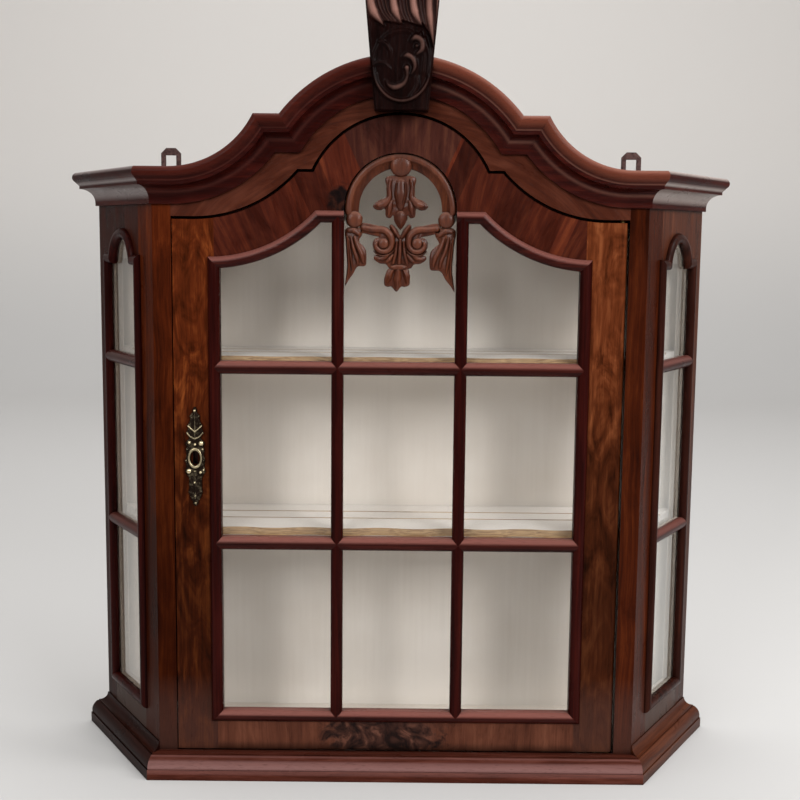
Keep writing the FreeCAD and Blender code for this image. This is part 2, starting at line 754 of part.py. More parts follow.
# Section of the cornice on a given level
def cornice_section(level):
    return moved([
        ("0", "0"),
        ("-pos.fillet_out", "0"),
        ("-pos.fillet_out", "pos.fillet_up", "pos.cove_radius", 1),
        ("-pos.cove_out", "pos.cove_up"),
        ("-pos.corona_out", "pos.cove_up"),
        ("-pos.corona_out", "pos.corona_up"),
        ("-pos.nose_out", "pos.nose_up", "pos.nose_radius", -1),
        ("-pos.nose_end", "dim.cornice_height"),
        ("0", "dim.cornice_height"),
    ], "0", level)


# Front cornice in six lengths, mitred at the steps, and its two returns
sweep_run = "(pos.front_half + 2 * dim.cornice_projection)"
key_sides = [("-dim.key_foot_width / 2", "pos.key_foot"), ("dim.key_foot_width / 2", "pos.key_foot"),
             ("dim.key_head_width / 2", "dim.key_head_level"),
             ("-dim.key_head_width / 2", "dim.key_head_level")]
for hand, side in sides.items():
    outer = [(f"{side} * pos.{name}_outer", f"pos.{name}_step") for name in ("foot", "crown")]
    inner = [(f"{side} * pos.{name}_inner", f"pos.{name}_step") for name in ("foot", "crown")]
    back = side < 0
    sweep = node(f"cornice_sweep_{hand}")
    start = "pos.foot_reach" if side > 0 else f"-{sweep_run}"
    pad(sweep, "YZ", [cornice_section("dim.cornice_level")], start, f"{sweep_run} - pos.foot_reach")
    pocket(sweep, "XY", [front_mitre("dim.cornice_projection", side)])
    turn(sweep, cornice_section("dim.cornice_level"), f"{side} * pos.foot_reach", "pos.foot_axis",
         75, back)
    pocket(sweep, "XZ", [beyond(*outer, f"{-side} * pos.foot_sweep", 5)])
    step = node(f"cornice_step_{hand}")
    start = "pos.foot_inner" if side > 0 else "-pos.crown_outer"
    pad(step, "YZ", [cornice_section("dim.step_level")], start, "pos.crown_outer - pos.foot_inner")
    pocket(step, "XZ", [beyond(*outer, f"{side} * 2 * dim.cornice_height")])
    pocket(step, "XZ", [beyond(*inner, f"{-side} * 2 * dim.cornice_height")])
    arch = node(f"cornice_arch_{hand}")
    turn(arch, cornice_section("pos.foot_crown"), "0", "dim.arch_level", 70, back)
    pocket(arch, "XZ", [beyond(*inner, f"{side} * 2 * dim.cornice_height")])
    pocket(arch, "XZ", [key_sides])
    side_moulding(f"cornice_return_{hand}", cornice_section("dim.cornice_level"),
                  "dim.cornice_projection", side)

# Keystone with three crest lobes and a domed boss
lobe_level = "dim.key_head_level + dim.crest_rise"
keystone = prism("keystone", "XZ", [[
    key_sides[0],
    key_sides[1],
    (*key_sides[2], "pos.crest_radius", 1),
    ("dim.crest_lobe_width / 2", lobe_level, "pos.crest_radius", 1),
    ("-dim.crest_lobe_width / 2", lobe_level, "pos.crest_radius", 1),
    key_sides[3],
]], "-dim.key_projection", "dim.key_projection")
boss = keystone.newObject("PartDesign::AdditiveEllipsoid", "keystone_boss")
boss.setExpression("Radius1", "dim.boss_height / 2")
boss.setExpression("Radius2", "dim.boss_width / 2")
boss.setExpression("Radius3", "dim.boss_relief")
boss.setExpression("Placement.Base.y", "-dim.key_projection")
boss.setExpression("Placement.Base.z", "dim.boss_level")


# The ground outside the inner faces of the canted walls
def outside_walls(sign):
    front = (f"{sign} * pos.inner_front", "0")
    rear = (f"{sign} * pos.inner_rear", "dim.body_depth")
    return beyond(front, rear, f"{sign} * dim.body_depth")


# Back panel up to the roof line, and the bent roof in front of it
back_panel = prism("back_panel", "XZ", [
    both_halves(bonnet_half("roof", "pos.inner_rear"))
    + [("-pos.inner_rear", "dim.base_height"), ("pos.inner_rear", "dim.base_height")]
], "pos.back_face", "dim.back_thickness")
roof_panel = prism("roof_panel", "XZ", [
    both_halves(bonnet_half("roof", "pos.inner_rear"))
    + backward(both_halves(bonnet_half("ceiling", "pos.inner_rear")))
], "dim.post_depth", "pos.back_face - dim.post_depth")
for sign in sides.values():
    pocket(back_panel, "XY", [outside_walls(sign)])
    pocket(roof_panel, "XY", [outside_walls(sign)])

# Shelves with a wavy front edge, shoulders behind the posts and two plate grooves
wave_count = 6
wave_half = f"{wave_count} * dim.shelf_wave_length / 2"
wave = [(f"{i} * dim.shelf_wave_length / 2 - {wave_half}", "dim.shelf_setback",
         "pos.shelf_wave_radius", 1 - 2 * (i % 2)) for i in range(2 * wave_count)]
shelf_plan = wave + [
    (wave_half, "dim.shelf_setback"),
    (wave_half, "pos.shelf_shoulder"),
    ("pos.shelf_inner + pos.shelf_shoulder * pos.cant_tan", "pos.shelf_shoulder"),
    ("pos.shelf_inner + pos.shelf_rear * pos.cant_tan", "pos.shelf_rear"),
    ("-pos.shelf_inner - pos.shelf_rear * pos.cant_tan", "pos.shelf_rear"),
    ("-pos.shelf_inner - pos.shelf_shoulder * pos.cant_tan", "pos.shelf_shoulder"),
    (f"-{wave_half}", "pos.shelf_shoulder"),
]
cleats = []
for name in ("upper", "lower"):
    top = f"dim.shelf_{name}_level"
    under = f"{top} - dim.shelf_thickness"
    shelf = prism(f"shelf_{name}", "XY", [shelf_plan], under, "dim.shelf_thickness")
    grooves = []
    for i in (1, 2):
        rear = f"pos.back_face - {i} * dim.groove_pitch"
        grooves.append(rectangle(f"{rear} - dim.groove_width", f"{top} - dim.groove_depth", rear,
                                 f"{top} + dim.groove_depth"))
    pocket(shelf, "YZ", grooves)
    for side in sides.values():
        for end in (-1, 1):
            cleat = new_body("cleat", side)
            start = f"{side} * pos.cleat_front" if end < 0 else f"{side} * pos.cleat_rear"
            start += " - dim.cleat_length" if side * end > 0 else ""
            pad(cleat, "YZ", [rectangle("dim.wall_thickness", f"{under} - dim.cleat_size",
                                        "dim.wall_thickness + dim.cleat_size", under)],
                start, "dim.cleat_length")
            cleats.append(cleat)
group("shelf_cleats", cleats)

# Hangers let into the back, each with an eye and two countersunk screws
hanger_top = [
    ("dim.hanger_width / 2", "dim.hanger_head_level - dim.hanger_chamfer"),
    ("dim.hanger_width / 2 - dim.hanger_chamfer", "dim.hanger_head_level"),
    ("dim.hanger_chamfer - dim.hanger_width / 2", "dim.hanger_head_level"),
    ("-dim.hanger_width / 2", "dim.hanger_head_level - dim.hanger_chamfer"),
]
hanger_foot = [("-dim.hanger_width / 2", "dim.hanger_foot_level"),
               ("dim.hanger_width / 2", "dim.hanger_foot_level")]
hanger_eye = rectangle("-dim.eye_width / 2", "pos.eye_head - dim.eye_height", "dim.eye_width / 2",
                       "pos.eye_head")
screws = []
for hand, side in sides.items():
    middle = f"{side} * pos.hanger_half"
    outlines = [moved(hanger_foot + hanger_top, middle, "0"), moved(hanger_eye, middle, "0")]
    hanger = prism(f"hanger_{hand}", "XZ", outlines, "pos.hanger_front", "dim.hanger_thickness")
    pocket(back_panel, "XZ", outlines[:1], "pos.hanger_front", "dim.hanger_thickness")
    for i in (0, 1):
        level = f"dim.hanger_foot_level + dim.screw_margin + {i} * dim.screw_pitch"
        section = [
            ("pos.hanger_front - dim.screw_bite", level),
            ("dim.body_depth", level),
            ("dim.body_depth", f"{level} + dim.screw_head / 2"),
            ("dim.body_depth - (dim.screw_head - dim.screw_shank) / 2", f"{level} + dim.screw_shank / 2"),
            ("pos.hanger_front - dim.screw_bite", f"{level} + dim.screw_shank / 2"),
        ]
        screw = new_body("hanger_screw")
        turn(screw, section, middle, level, 360)
        screws.append(screw)
        for held in (hanger, back_panel):
            turn(held, section, middle, level, 360, kind="Groove")
group("hanger_screws", screws)

# Keep let into the left post, with a mortise behind it for the bolt
keep_slot = rectangle("pos.lock_middle - dim.bolt_thickness / 2 - dim.bolt_gap",
                      "dim.key_level - dim.bolt_height / 2 - dim.bolt_gap",
                      "pos.lock_middle + dim.bolt_thickness / 2 + dim.bolt_gap",
                      "dim.key_level + dim.bolt_height / 2 + dim.bolt_gap")
keep_plate = rectangle("pos.lock_middle - dim.keep_width / 2", "dim.key_level - dim.keep_height / 2",
                       "pos.lock_middle + dim.keep_width / 2", "dim.key_level + dim.keep_height / 2")
keep_left = "-pos.opening_half - dim.keep_thickness"
prism("lock_keep", "YZ", [keep_plate, keep_slot], keep_left, "dim.keep_thickness")
pocket(posts["left"], "YZ", [keep_plate], keep_left, "dim.keep_thickness")
pocket(posts["left"], "YZ", [keep_slot], "-pos.opening_half - dim.bolt_reach", "dim.bolt_reach")

# Pivot plates of the carcass, let into the base board and the pediment board
plate = rectangle("pos.plate_left", "pos.plate_front", "pos.plate_right", "pos.plate_back")
bore = disc("pos.pivot_x", "dim.pivot_inset", "(dim.pin_diameter / 2 + dim.pin_clearance)")
well = disc("pos.pivot_x", "dim.pivot_inset", "(dim.pin_diameter / 2 + dim.pivot_float)")
lower = "dim.base_height - dim.pivot_plate_thickness"
pocket(base_board, "XY", [plate], lower, "dim.pivot_plate_thickness")
pocket(base_board, "XY", [well], f"{lower} - dim.pin_sink", "dim.pin_sink")
pocket(pediment_board, "XY", [plate], "pos.gap_flat", "dim.pivot_plate_thickness")
pocket(pediment_board, "XY", [well], "pos.gap_flat", "dim.pivot_plate_thickness + dim.pin_sink")
pivot_plates = []
for level in (lower, "pos.gap_flat"):
    body = new_body("pivot_plate")
    pad(body, "XY", [plate, bore], level, "dim.pivot_plate_thickness")
    pivot_plates.append(body)
group("pivot_plates", pivot_plates)

prism("door_stop", "XY", [rectangle("-pos.opening_half", "dim.door_thickness + dim.stop_gap",
                                    "dim.stop_width - pos.opening_half", "dim.post_depth")],
      "pos.door_foot + dim.stop_margin", "pos.door_flat - pos.door_foot - 2 * dim.stop_margin")

# Door frame: two stiles, a shaped top rail and a bottom rail
door_stile = [
    ("pos.stile_edge", "pos.door_foot"),
    ("pos.door_half", "pos.door_foot"),
    ("pos.door_half", "pos.door_flat"),
    ("pos.door_reach", "pos.door_flat", "pos.door_sweep", -1),
    ("pos.stile_edge", "pos.stile_top"),
]
lock_stile = prism("door_lock_stile", "XZ", [mirrored(door_stile)], "0", "dim.door_thickness")
hinge_stile = prism("door_hinge_stile", "XZ", [door_stile], "0", "dim.door_thickness")
pocket(hinge_stile, "XY", [[
    ("pos.pivot_x", "0", "dim.pivot_inset", 1),
    ("pos.door_half", "dim.pivot_inset"),
    ("pos.door_half + dim.pivot_inset", "dim.pivot_inset"),
    ("pos.door_half + dim.pivot_inset", "-dim.pivot_inset"),
    ("pos.pivot_x", "-dim.pivot_inset"),
]])
rail_head = [
    ("pos.stile_edge", "pos.stile_top", "pos.door_sweep", -1),
    *bonnet_half("door", "pos.stile_edge")[2:],
]
rail_light = [
    ("pos.stile_edge", "pos.frame_corner", "pos.frame_sweep", -1),
    ("pos.frame_knee", "pos.frame_flat"),
    ("pos.muntin_inner", "pos.frame_flat"),
    ("pos.muntin_inner", "dim.ring_level", "pos.muntin_inner", 1),
    ("0", "dim.ring_level + pos.muntin_inner"),
]
prism("door_top_rail", "XZ", [both_halves(rail_head) + backward(both_halves(rail_light))], "0",
      "dim.door_thickness")
prism("door_bottom_rail", "XZ", [rectangle("-pos.stile_edge", "pos.door_foot", "pos.stile_edge",
                                           "pos.rail_top")], "0", "dim.door_thickness")

# Glazing beads of the door, mitred to one another
beads = {}
for hand, side in sides.items():
    foot_corner = (f"{side} * pos.sight_half", "dim.sight_foot")
    foot_outer = (f"{side} * pos.bead_outer", "pos.bead_foot")
    head_corner = (f"{side} * pos.sight_half", "pos.sight_corner")
    head_outer = (f"{side} * pos.bead_outer", "dim.bead_corner_level")
    knee = ((f"{side} * pos.sight_knee", "pos.sight_flat"),
            (f"{side} * pos.bead_knee", "dim.bead_flat_level"))
    reach = "4 * dim.bead_width"
    upright = node(f"door_bead_{hand}")
    pad(upright, "XY", [swapped(bead_section(f"{side} * pos.sight_half", side))], "pos.bead_foot",
        "dim.bead_corner_level - pos.bead_foot")
    pocket(upright, "XZ", [beyond(foot_corner, foot_outer, f"{-side} * {reach}")])
    pocket(upright, "XZ", [beyond(head_corner, head_outer, f"{-side} * {reach}")])
    curve = new_body(f"bead_curve_{hand}")
    turn(curve, bead_section("pos.bead_axis - pos.sight_sweep", 1), f"{side} * pos.bead_outer",
         "pos.bead_axis", 60, side < 0)
    pocket(curve, "XZ", [beyond(head_corner, head_outer, f"{side} * {reach}")])
    pocket(curve, "XZ", [beyond(*knee, f"{-side} * {reach}", 5)])
    run = new_body(f"bead_run_{hand}")
    start = "pos.muntin_inner" if side > 0 else "-pos.bead_knee"
    pad(run, "YZ", [bead_section("pos.sight_flat", 1)], start, "pos.bead_knee - pos.muntin_inner")
    pocket(run, "XZ", [beyond(*knee, f"{side} * {reach}")])
    beads[hand] = upright
    beads[f"top_{hand}"] = named(combined("Fuse", f"bead_top_{hand}", run, curve), f"door_bead_top_{hand}")
bottom_bead = node("door_bead_bottom")
pad(bottom_bead, "YZ", [bead_section("dim.sight_foot", -1)], "-pos.bead_outer", "2 * pos.bead_outer")
for side in sides.values():
    foot_corner = (f"{side} * pos.sight_half", "dim.sight_foot")
    foot_outer = (f"{side} * pos.bead_outer", "pos.bead_foot")
    pocket(bottom_bead, "XZ", [beyond(foot_corner, foot_outer, f"{side} * 4 * dim.bead_width")])

# Glazing bars of the door, coped against the beads and against each other
muntins = {}
for hand, side in sides.items():
    blank = new_body(f"muntin_blank_{hand}")
    section = bar_section(f"{side} * dim.muntin_centre", "dim.muntin_width", "pos.muntin_nose")
    pad(blank, "XY", [swapped(section)], "pos.rail_top", "pos.frame_flat - pos.rail_top")
    coped = cut_by(f"muntin_{hand}", blank, [bottom_bead, beads[f"top_{hand}"]])
    muntins[hand] = named(coped, f"door_muntin_{hand}")
for name in ("upper", "lower"):
    blank = new_body(f"bar_blank_{name}")
    section = bar_section(f"dim.bar_{name}_level", "dim.bar_width", "pos.bar_nose")
    pad(blank, "YZ", [section], "-pos.stile_edge", "2 * pos.stile_edge")
    coped = cut_by(f"bar_{name}", blank, [beads["left"], beads["right"], *muntins.values()])
    named(coped, f"door_bar_{name}")


# Outlines of the nine panes of the door
def door_panes(name):
    edge, rib, flat = f"pos.{name}_edge", f"pos.{name}_rib", f"pos.{name}_flat"
    arch = f"pos.{name}_arch"
    near, far = f"dim.muntin_centre - {rib}", f"dim.muntin_centre + {rib}"
    low, high = "dim.bar_lower_level", "dim.bar_upper_level"
    outlines = []
    for bottom, top in ((f"pos.{name}_foot", f"{low} - {rib}"), (f"{low} + {rib}", f"{high} - {rib}")):
        corner_pane = rectangle(far, bottom, edge, top)
        outlines += [mirrored(corner_pane), rectangle(f"-({near})", bottom, near, top), corner_pane]
    corner_pane = [
        (far, f"{high} + {rib}"),
        (edge, f"{high} + {rib}"),
        (edge, f"pos.{name}_corner", f"pos.{name}_sweep", -1),
        (f"pos.{name}_knee", flat),
        (far, flat),
    ]
    middle_pane = both_halves([
        (near, f"{high} + {rib}"),
        (near, flat),
        (arch, flat),
        (arch, "dim.ring_level", arch, 1),
        ("0", f"dim.ring_level + {arch}"),
    ])
    return outlines + [mirrored(corner_pane), middle_pane, corner_pane]


glass = []
door_putty = []
for outline, inner in zip(door_panes("pane"), door_panes("putty")):
    pane = new_body("door_pane")
    pad(pane, "XZ", [outline], "dim.glass_seat", "dim.glass_thickness")
    glass.append(pane)
    putty = new_body("door_putty_ring")
    pad(putty, "XZ", [outline, inner], "pos.glass_back", "dim.putty_depth")
    door_putty.append(putty)
group("door_panes", glass)
group("door_putty", door_putty)


# A symmetrical outline from its right edge, in shares of a width and a height
def balanced(edge, width, height, x, level):
    right = [(f"{x} + {a} * {width}", f"{level} + {b} * {height}") for a, b in edge]
    left = [(f"{x} - {a} * {width}", f"{level} + {b} * {height}") for a, b in edge]
    return right + left[::-1]


# Carved ring with volutes at its ends, and a bell, bud, scrolls and leaves hanging in it
def horseshoe(radius):
    return [
        (radius, "-dim.volute_radius"),
        (radius, "0", radius, 1),
        ("0", radius),
    ]


ring_share = "pos.ring_radius"
bell = [(0.1, 0.66), (0.2, 0.37), (0.41, 0.08), (0.33, -0.04), (0.12, 0)]
pendant = [(0.18, -0.28), (0.16, -0.56), (0.38, -0.86), (0.24, -0.96), (0.13, -0.9), (0.2, -1.1),
           (0.23, -1.32), (0.12, -1.33), (0.03, -1.47)]
leaf = [(0.25, -0.34), (0.35, -0.45), (0.62, -0.46), (0.67, -0.6), (0.58, -0.81), (0.58, -0.95),
        (0.7, -0.97), (0.74, -1.08), (0.86, -1.2), (0.97, -1.29), (0.9, -1.08), (0.88, -0.81),
        (0.95, -0.55), (0.92, -0.33), (0.64, -0.38)]
ring = both_halves(horseshoe("pos.ring_radius")) + backward(both_halves(horseshoe("pos.ring_inner")))
ornaments = [moved(ring, "0", "dim.ring_level")]
for edge in (bell, pendant):
    ornaments.append(balanced(edge, ring_share, ring_share, "0", "dim.ring_level"))
ornaments.append(disc("0", f"dim.ring_level + 0.8 * {ring_share}", f"0.19 * {ring_share}"))
ornaments.append(disc("0", f"dim.ring_level - 0.16 * {ring_share}", f"0.18 * {ring_share}"))
for side in sides.values():
    ornaments.append(disc(f"{side} * (pos.ring_radius - dim.volute_radius)",
                          "dim.ring_level - dim.volute_radius", "dim.volute_radius"))
    ornaments.append(disc(f"{side} * 0.31 * {ring_share}", f"dim.ring_level - 0.56 * {ring_share}",
                          f"0.19 * {ring_share}"))
    ornaments.append([(f"{side} * {a} * {ring_share}", f"dim.ring_level + {b} * {ring_share}")
                      for a, b in leaf])
fretwork = node("carved_fretwork")
for outline in ornaments:
    pad(fretwork, "XZ", [outline], "dim.ring_front", "pos.ring_depth")

# Escutcheon, and the keyhole that runs on through the stile into the lock
plate_edge = [(0.07, 0.518), (0.2, 0.44), (0.16, 0.34), (0.36, 0.26), (0.5, 0.176), (0.36, 0.08),
              (0.36, -0.04), (0.5, -0.131), (0.36, -0.22), (0.16, -0.3), (0.2, -0.4), (0.07, -0.486)]
keyhole = moved([
    ("-dim.keyhole_width / 2", "-dim.keyhole_height / 2"),
    ("dim.keyhole_width / 2", "-dim.keyhole_height / 2"),
    ("dim.keyhole_width / 2", "(dim.keyhole_height - dim.keyhole_width) / 2", "dim.keyhole_width / 2", 1),
    ("0", "dim.keyhole_height / 2", "dim.keyhole_width / 2", 1),
    ("-dim.keyhole_width / 2", "(dim.keyhole_height - dim.keyhole_width) / 2"),
], "pos.key_x", "dim.key_level")
prism("escutcheon_plate", "XZ", [
    balanced(plate_edge, "dim.plate_width", "dim.plate_height", "pos.key_x", "dim.key_level"), keyhole,
], "-dim.plate_thickness", "dim.plate_thickness")
pocket(lock_stile, "XZ", [keyhole], "0", "dim.lock_depth")

# Lock let into the edge of its stile, with a sliding bolt
lock_face = rectangle("dim.lock_depth", "dim.key_level - dim.lock_height / 2",
                      "dim.lock_depth + dim.lock_thickness", "dim.key_level + dim.lock_height / 2")
pocket(lock_stile, "YZ", [lock_face], "-pos.door_half", "dim.lock_recess + dim.lock_width")
lock_case = prism("lock_case", "YZ", [lock_face], "pos.lock_left", "dim.lock_width")
pocket(lock_case, "YZ", [keep_slot], "pos.lock_left",
       "dim.bolt_recess - dim.lock_recess + dim.bolt_length + dim.bolt_gap")
pocket(lock_case, "XZ", [keyhole], "dim.lock_depth", "dim.keyway_depth")
prism("lock_bolt", "XZ", [rectangle("pos.bolt_tip", "dim.key_level - dim.bolt_height / 2",
                                    "pos.bolt_tip + dim.bolt_length",
                                    "dim.key_level + dim.bolt_height / 2")],
      "pos.lock_middle - dim.bolt_thickness / 2", "dim.bolt_thickness")

# Pivots of the door, let into both ends of the hinge stile
pin = disc("pos.pivot_x", "dim.pivot_inset", "dim.pin_diameter / 2")
collar = disc("pos.pivot_x", "dim.pivot_inset", "dim.pivot_collar / 2")
upper = "pos.door_flat - dim.pivot_plate_thickness"
for level in ("pos.door_foot", upper):
    pocket(hinge_stile, "XY", [plate], level, "dim.pivot_plate_thickness")
lower_pivot = new_body("lower_pivot")
pad(lower_pivot, "XY", [plate], "pos.door_foot", "dim.pivot_plate_thickness")
pad(lower_pivot, "XY", [collar], "dim.base_height + dim.pivot_float",
    "dim.door_foot_gap - dim.pivot_float")
pad(lower_pivot, "XY", [pin], "dim.base_height - dim.pin_reach", "dim.pin_reach + dim.door_foot_gap")
upper_pivot = new_body("upper_pivot")
pad(upper_pivot, "XY", [plate], upper, "dim.pivot_plate_thickness")
pad(upper_pivot, "XY", [pin], "pos.door_flat", "dim.door_top_gap + dim.pin_reach")
group("door_pivots", [lower_pivot, upper_pivot])

doc.recompute()
faults = [thing.Name for thing in doc.Objects if {"Invalid", "Error"} & set(thing.State)]
for thing in parts:
    if thing.Shape.isNull() or not thing.Shape.isValid():
        faults.append(thing.Label)
if faults:
    raise RuntimeError(f"unsound: {faults}")
os.makedirs("parts", exist_ok=True)
for thing in parts:
    thing.Shape.exportStep(f"parts/{thing.Label}.step")
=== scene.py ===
import math

import bmesh
import bpy
import numpy as np
from mathutils import Matrix, Vector


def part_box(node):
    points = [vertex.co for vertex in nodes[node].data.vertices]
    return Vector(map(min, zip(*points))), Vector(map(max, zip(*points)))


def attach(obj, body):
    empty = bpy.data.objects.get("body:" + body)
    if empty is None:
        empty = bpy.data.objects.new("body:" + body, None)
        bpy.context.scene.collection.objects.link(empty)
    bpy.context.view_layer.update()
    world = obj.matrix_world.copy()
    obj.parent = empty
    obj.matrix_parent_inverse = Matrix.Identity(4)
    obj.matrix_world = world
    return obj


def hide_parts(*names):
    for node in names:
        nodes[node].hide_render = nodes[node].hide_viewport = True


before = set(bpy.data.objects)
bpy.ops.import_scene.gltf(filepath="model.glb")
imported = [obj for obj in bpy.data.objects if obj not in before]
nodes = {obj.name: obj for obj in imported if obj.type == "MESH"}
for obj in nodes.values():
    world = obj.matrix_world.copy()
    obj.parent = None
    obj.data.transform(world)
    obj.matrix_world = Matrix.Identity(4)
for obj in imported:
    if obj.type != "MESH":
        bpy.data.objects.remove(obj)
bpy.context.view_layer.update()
print("cabinet frame loaded:", len(nodes), "nodes")


# Small helpers for shader trees

def tone(red, green, blue):
    def linear(level):
        share = level / 255
        return share / 12.92 if share <= 0.04045 else ((share + 0.055) / 1.055) ** 2.4
    return (linear(red), linear(green), linear(blue), 1)


def tones(dark, middle, light):
    return {"dark": tone(*dark), "middle": tone(*middle), "light": tone(*light)}


def addNode(tree, kind, values, **settings):
    made = tree.nodes.new("ShaderNode" + kind)
    for key, item in settings.items():
        setattr(made, key, item)
    for key, item in values.items():
        if isinstance(item, bpy.types.NodeSocket):
            tree.links.new(item, made.inputs[key])
        else:
            made.inputs[key].default_value = item
    return made


# One output of a new node in the tree of the sockets that feed it
def feed(kind, values, output=0, **settings):
    tree = next(item.id_data for item in values.values() if isinstance(item, bpy.types.NodeSocket))
    return addNode(tree, kind, values, **settings).outputs[output]


def calc(operation, first, second=0.0, clamp=False):
    return feed("Math", {0: first, 1: second}, operation=operation, use_clamp=clamp)


# The swing of a noise about its middle
def swayed(value, reach):
    return calc("MULTIPLY", calc("SUBTRACT", value, 0.5), reach)


def vectorCalc(operation, values, output=0):
    return feed("VectorMath", values, output, operation=operation)


def axes(place):
    return feed("SeparateXYZ", {0: place}).node.outputs


def spread(value, low, high, newLow=0.0, newHigh=1.0, smooth=False):
    return feed("MapRange", {0: value, 1: low, 2: high, 3: newLow, 4: newHigh},
                interpolation_type="SMOOTHSTEP" if smooth else "LINEAR")


def mixColour(share, first, second, blend="MIX"):
    return feed("Mix", {0: share, 6: first, 7: second}, 2, data_type="RGBA", blend_type=blend)


def ramp(value, shares, colours, steps="LINEAR"):
    made = feed("ValToRGB", {0: value}).node
    made.color_ramp.interpolation = steps
    elements = made.color_ramp.elements
    while len(elements) < len(shares):
        elements.new(0.5)
    for element, share, colour in zip(elements, shares, colours):
        element.position = share
        element.color = colour
    return made.outputs[0]


def greys(value, stops):
    shares, levels = zip(*stops)
    return ramp(value, shares, [(level, level, level, 1) for level in levels])


def noise(place, scale=1.0, detail=2.0, roughness=0.5, distortion=0.0):
    return feed("TexNoise", {"Vector": place, "Scale": scale, "Detail": detail, "Roughness": roughness,
                             "Distortion": distortion})


def stretched(place, turn, lengths, shift=(0, 0, 0)):
    return feed("Mapping", {"Vector": place, "Location": shift, "Rotation": turn, "Scale": lengths},
                vector_type="TEXTURE")


def crevices(place, reach):
    made = addNode(place.id_data, "AmbientOcclusion", {"Distance": reach}, samples=6)
    return made.outputs["AO"]


# A surface whose relief is given as height, strength and depth
def coat(colour, roughness, relief=None, metallic=0.0, specular=0.5):
    values = {"Base Color": colour, "Roughness": roughness, "Metallic": metallic,
              "Specular IOR Level": specular}
    if relief:
        height, strength, depth = relief
        values["Normal"] = feed("Bump", {"Height": height, "Strength": strength, "Distance": depth})
    return feed("BsdfPrincipled", values)


# A material is begun with the place of its points and closed with its surface
def newMaterial(name):
    material = bpy.data.materials.new(name)
    material.use_nodes = True
    material.node_tree.nodes.clear()
    return material, addNode(material.node_tree, "TexCoord", {}).outputs["Object"]


def closeMaterial(material, surface):
    addNode(material.node_tree, "OutputMaterial", {0: surface})
    return material


def dress(material, *names):
    for name in names:
        data = nodes[name].data
        data.materials.clear()
        data.materials.append(material)


# Polished walnut veneer. Each layer has its lengths in metres along and across the grain, and its detail.
woodSettings = {
    "streak": (0.16, 0.0045, 4), "fineStreak": (0.09, 0.0012, 3), "figure": (0.060, 0.020, 3),
    "pore": (0.011, 0.00042, 1), "layerRoughness": 0.6, "curl": 0.6, "fine": 0.3,
    "toneShares": (0.28, 0.5, 0.72), "warpLength": 0.09, "warpReach": 0.010,
    "poreShares": (0.60, 0.72), "poreTone": 0.45, "poreStrength": 0.5, "poreDepth": 0.00006,
    "creviceReach": 0.007, "creviceShade": (0.25, 0.85, 0.35, 1.0),
    "specular": 0.06, "roughFigure": (0.3, 0.7), "roughness": (0.24, 0.38),
}
cant = math.atan2(0.126, 0.0755)     # plan angle of the canted sides
grainTurns = {
    "up": (0, -math.pi / 2, 0),
    "level": (0, 0, 0),
    "sideLeft": (0, 0, math.pi - cant),
    "sideRight": (0, 0, cant),
}


def woodRamp(value, shares, look):
    return ramp(value, shares, [look[key] for key in ("dark", "middle", "light")])


# Grain that fans out from a level on the middle line, or runs round it
def fanPlace(split, fan):
    rise = calc("SUBTRACT", split[2], fan["level"])
    angle = calc("ARCTAN2", split[0], rise)
    across = calc("MULTIPLY", angle, fan["radius"])
    radius = calc("SQRT", calc("ADD", calc("POWER", rise, 2.0), calc("POWER", split[0], 2.0)))
    first, second = (across, radius) if fan["round"] else (radius, across)
    return feed("CombineXYZ", {0: first, 1: second, 2: split[1]})


# Veneer leaves side by side, their joints leaning outwards from the middle line
def veneerLeaves(split, colour, leaves):
    side = spread(split[0], -leaves["turn"], leaves["turn"], -1.0, 1.0)
    rise = calc("SUBTRACT", split[2], leaves["level"])
    lean = calc("MULTIPLY", calc("MULTIPLY", rise, leaves["lean"]), side)
    share = spread(calc("SUBTRACT", split[0], lean), -leaves["reach"], leaves["reach"])
    starts, tints = zip(*leaves["tints"])
    tint = ramp(share, starts, [(*colours, 1) for colours in tints], "CONSTANT")
    return mixColour(1.0, colour, tint, "MULTIPLY")


# A cloud of swirling figure with a ragged edge
burlSettings = {"detail": 3, "roughness": 0.6, "swirl": 2.2, "ragged": 1.1, "edge": (1.1, 0.65),
                "toneShares": (0.35, 0.52, 0.64)}


def burlPatch(place, colour, burl):
    s = burlSettings
    flat = stretched(place, (0, 0, 0), burl["size"], burl["centre"])
    away = vectorCalc("LENGTH", {0: flat}, "Value")
    cloud = noise(place, 1 / burl["cloud"], s["detail"], s["roughness"], s["swirl"])
    away = calc("ADD", away, swayed(cloud, s["ragged"]))
    inside = spread(away, *s["edge"], smooth=True)
    return mixColour(inside, colour, woodRamp(cloud, s["toneShares"], burl))


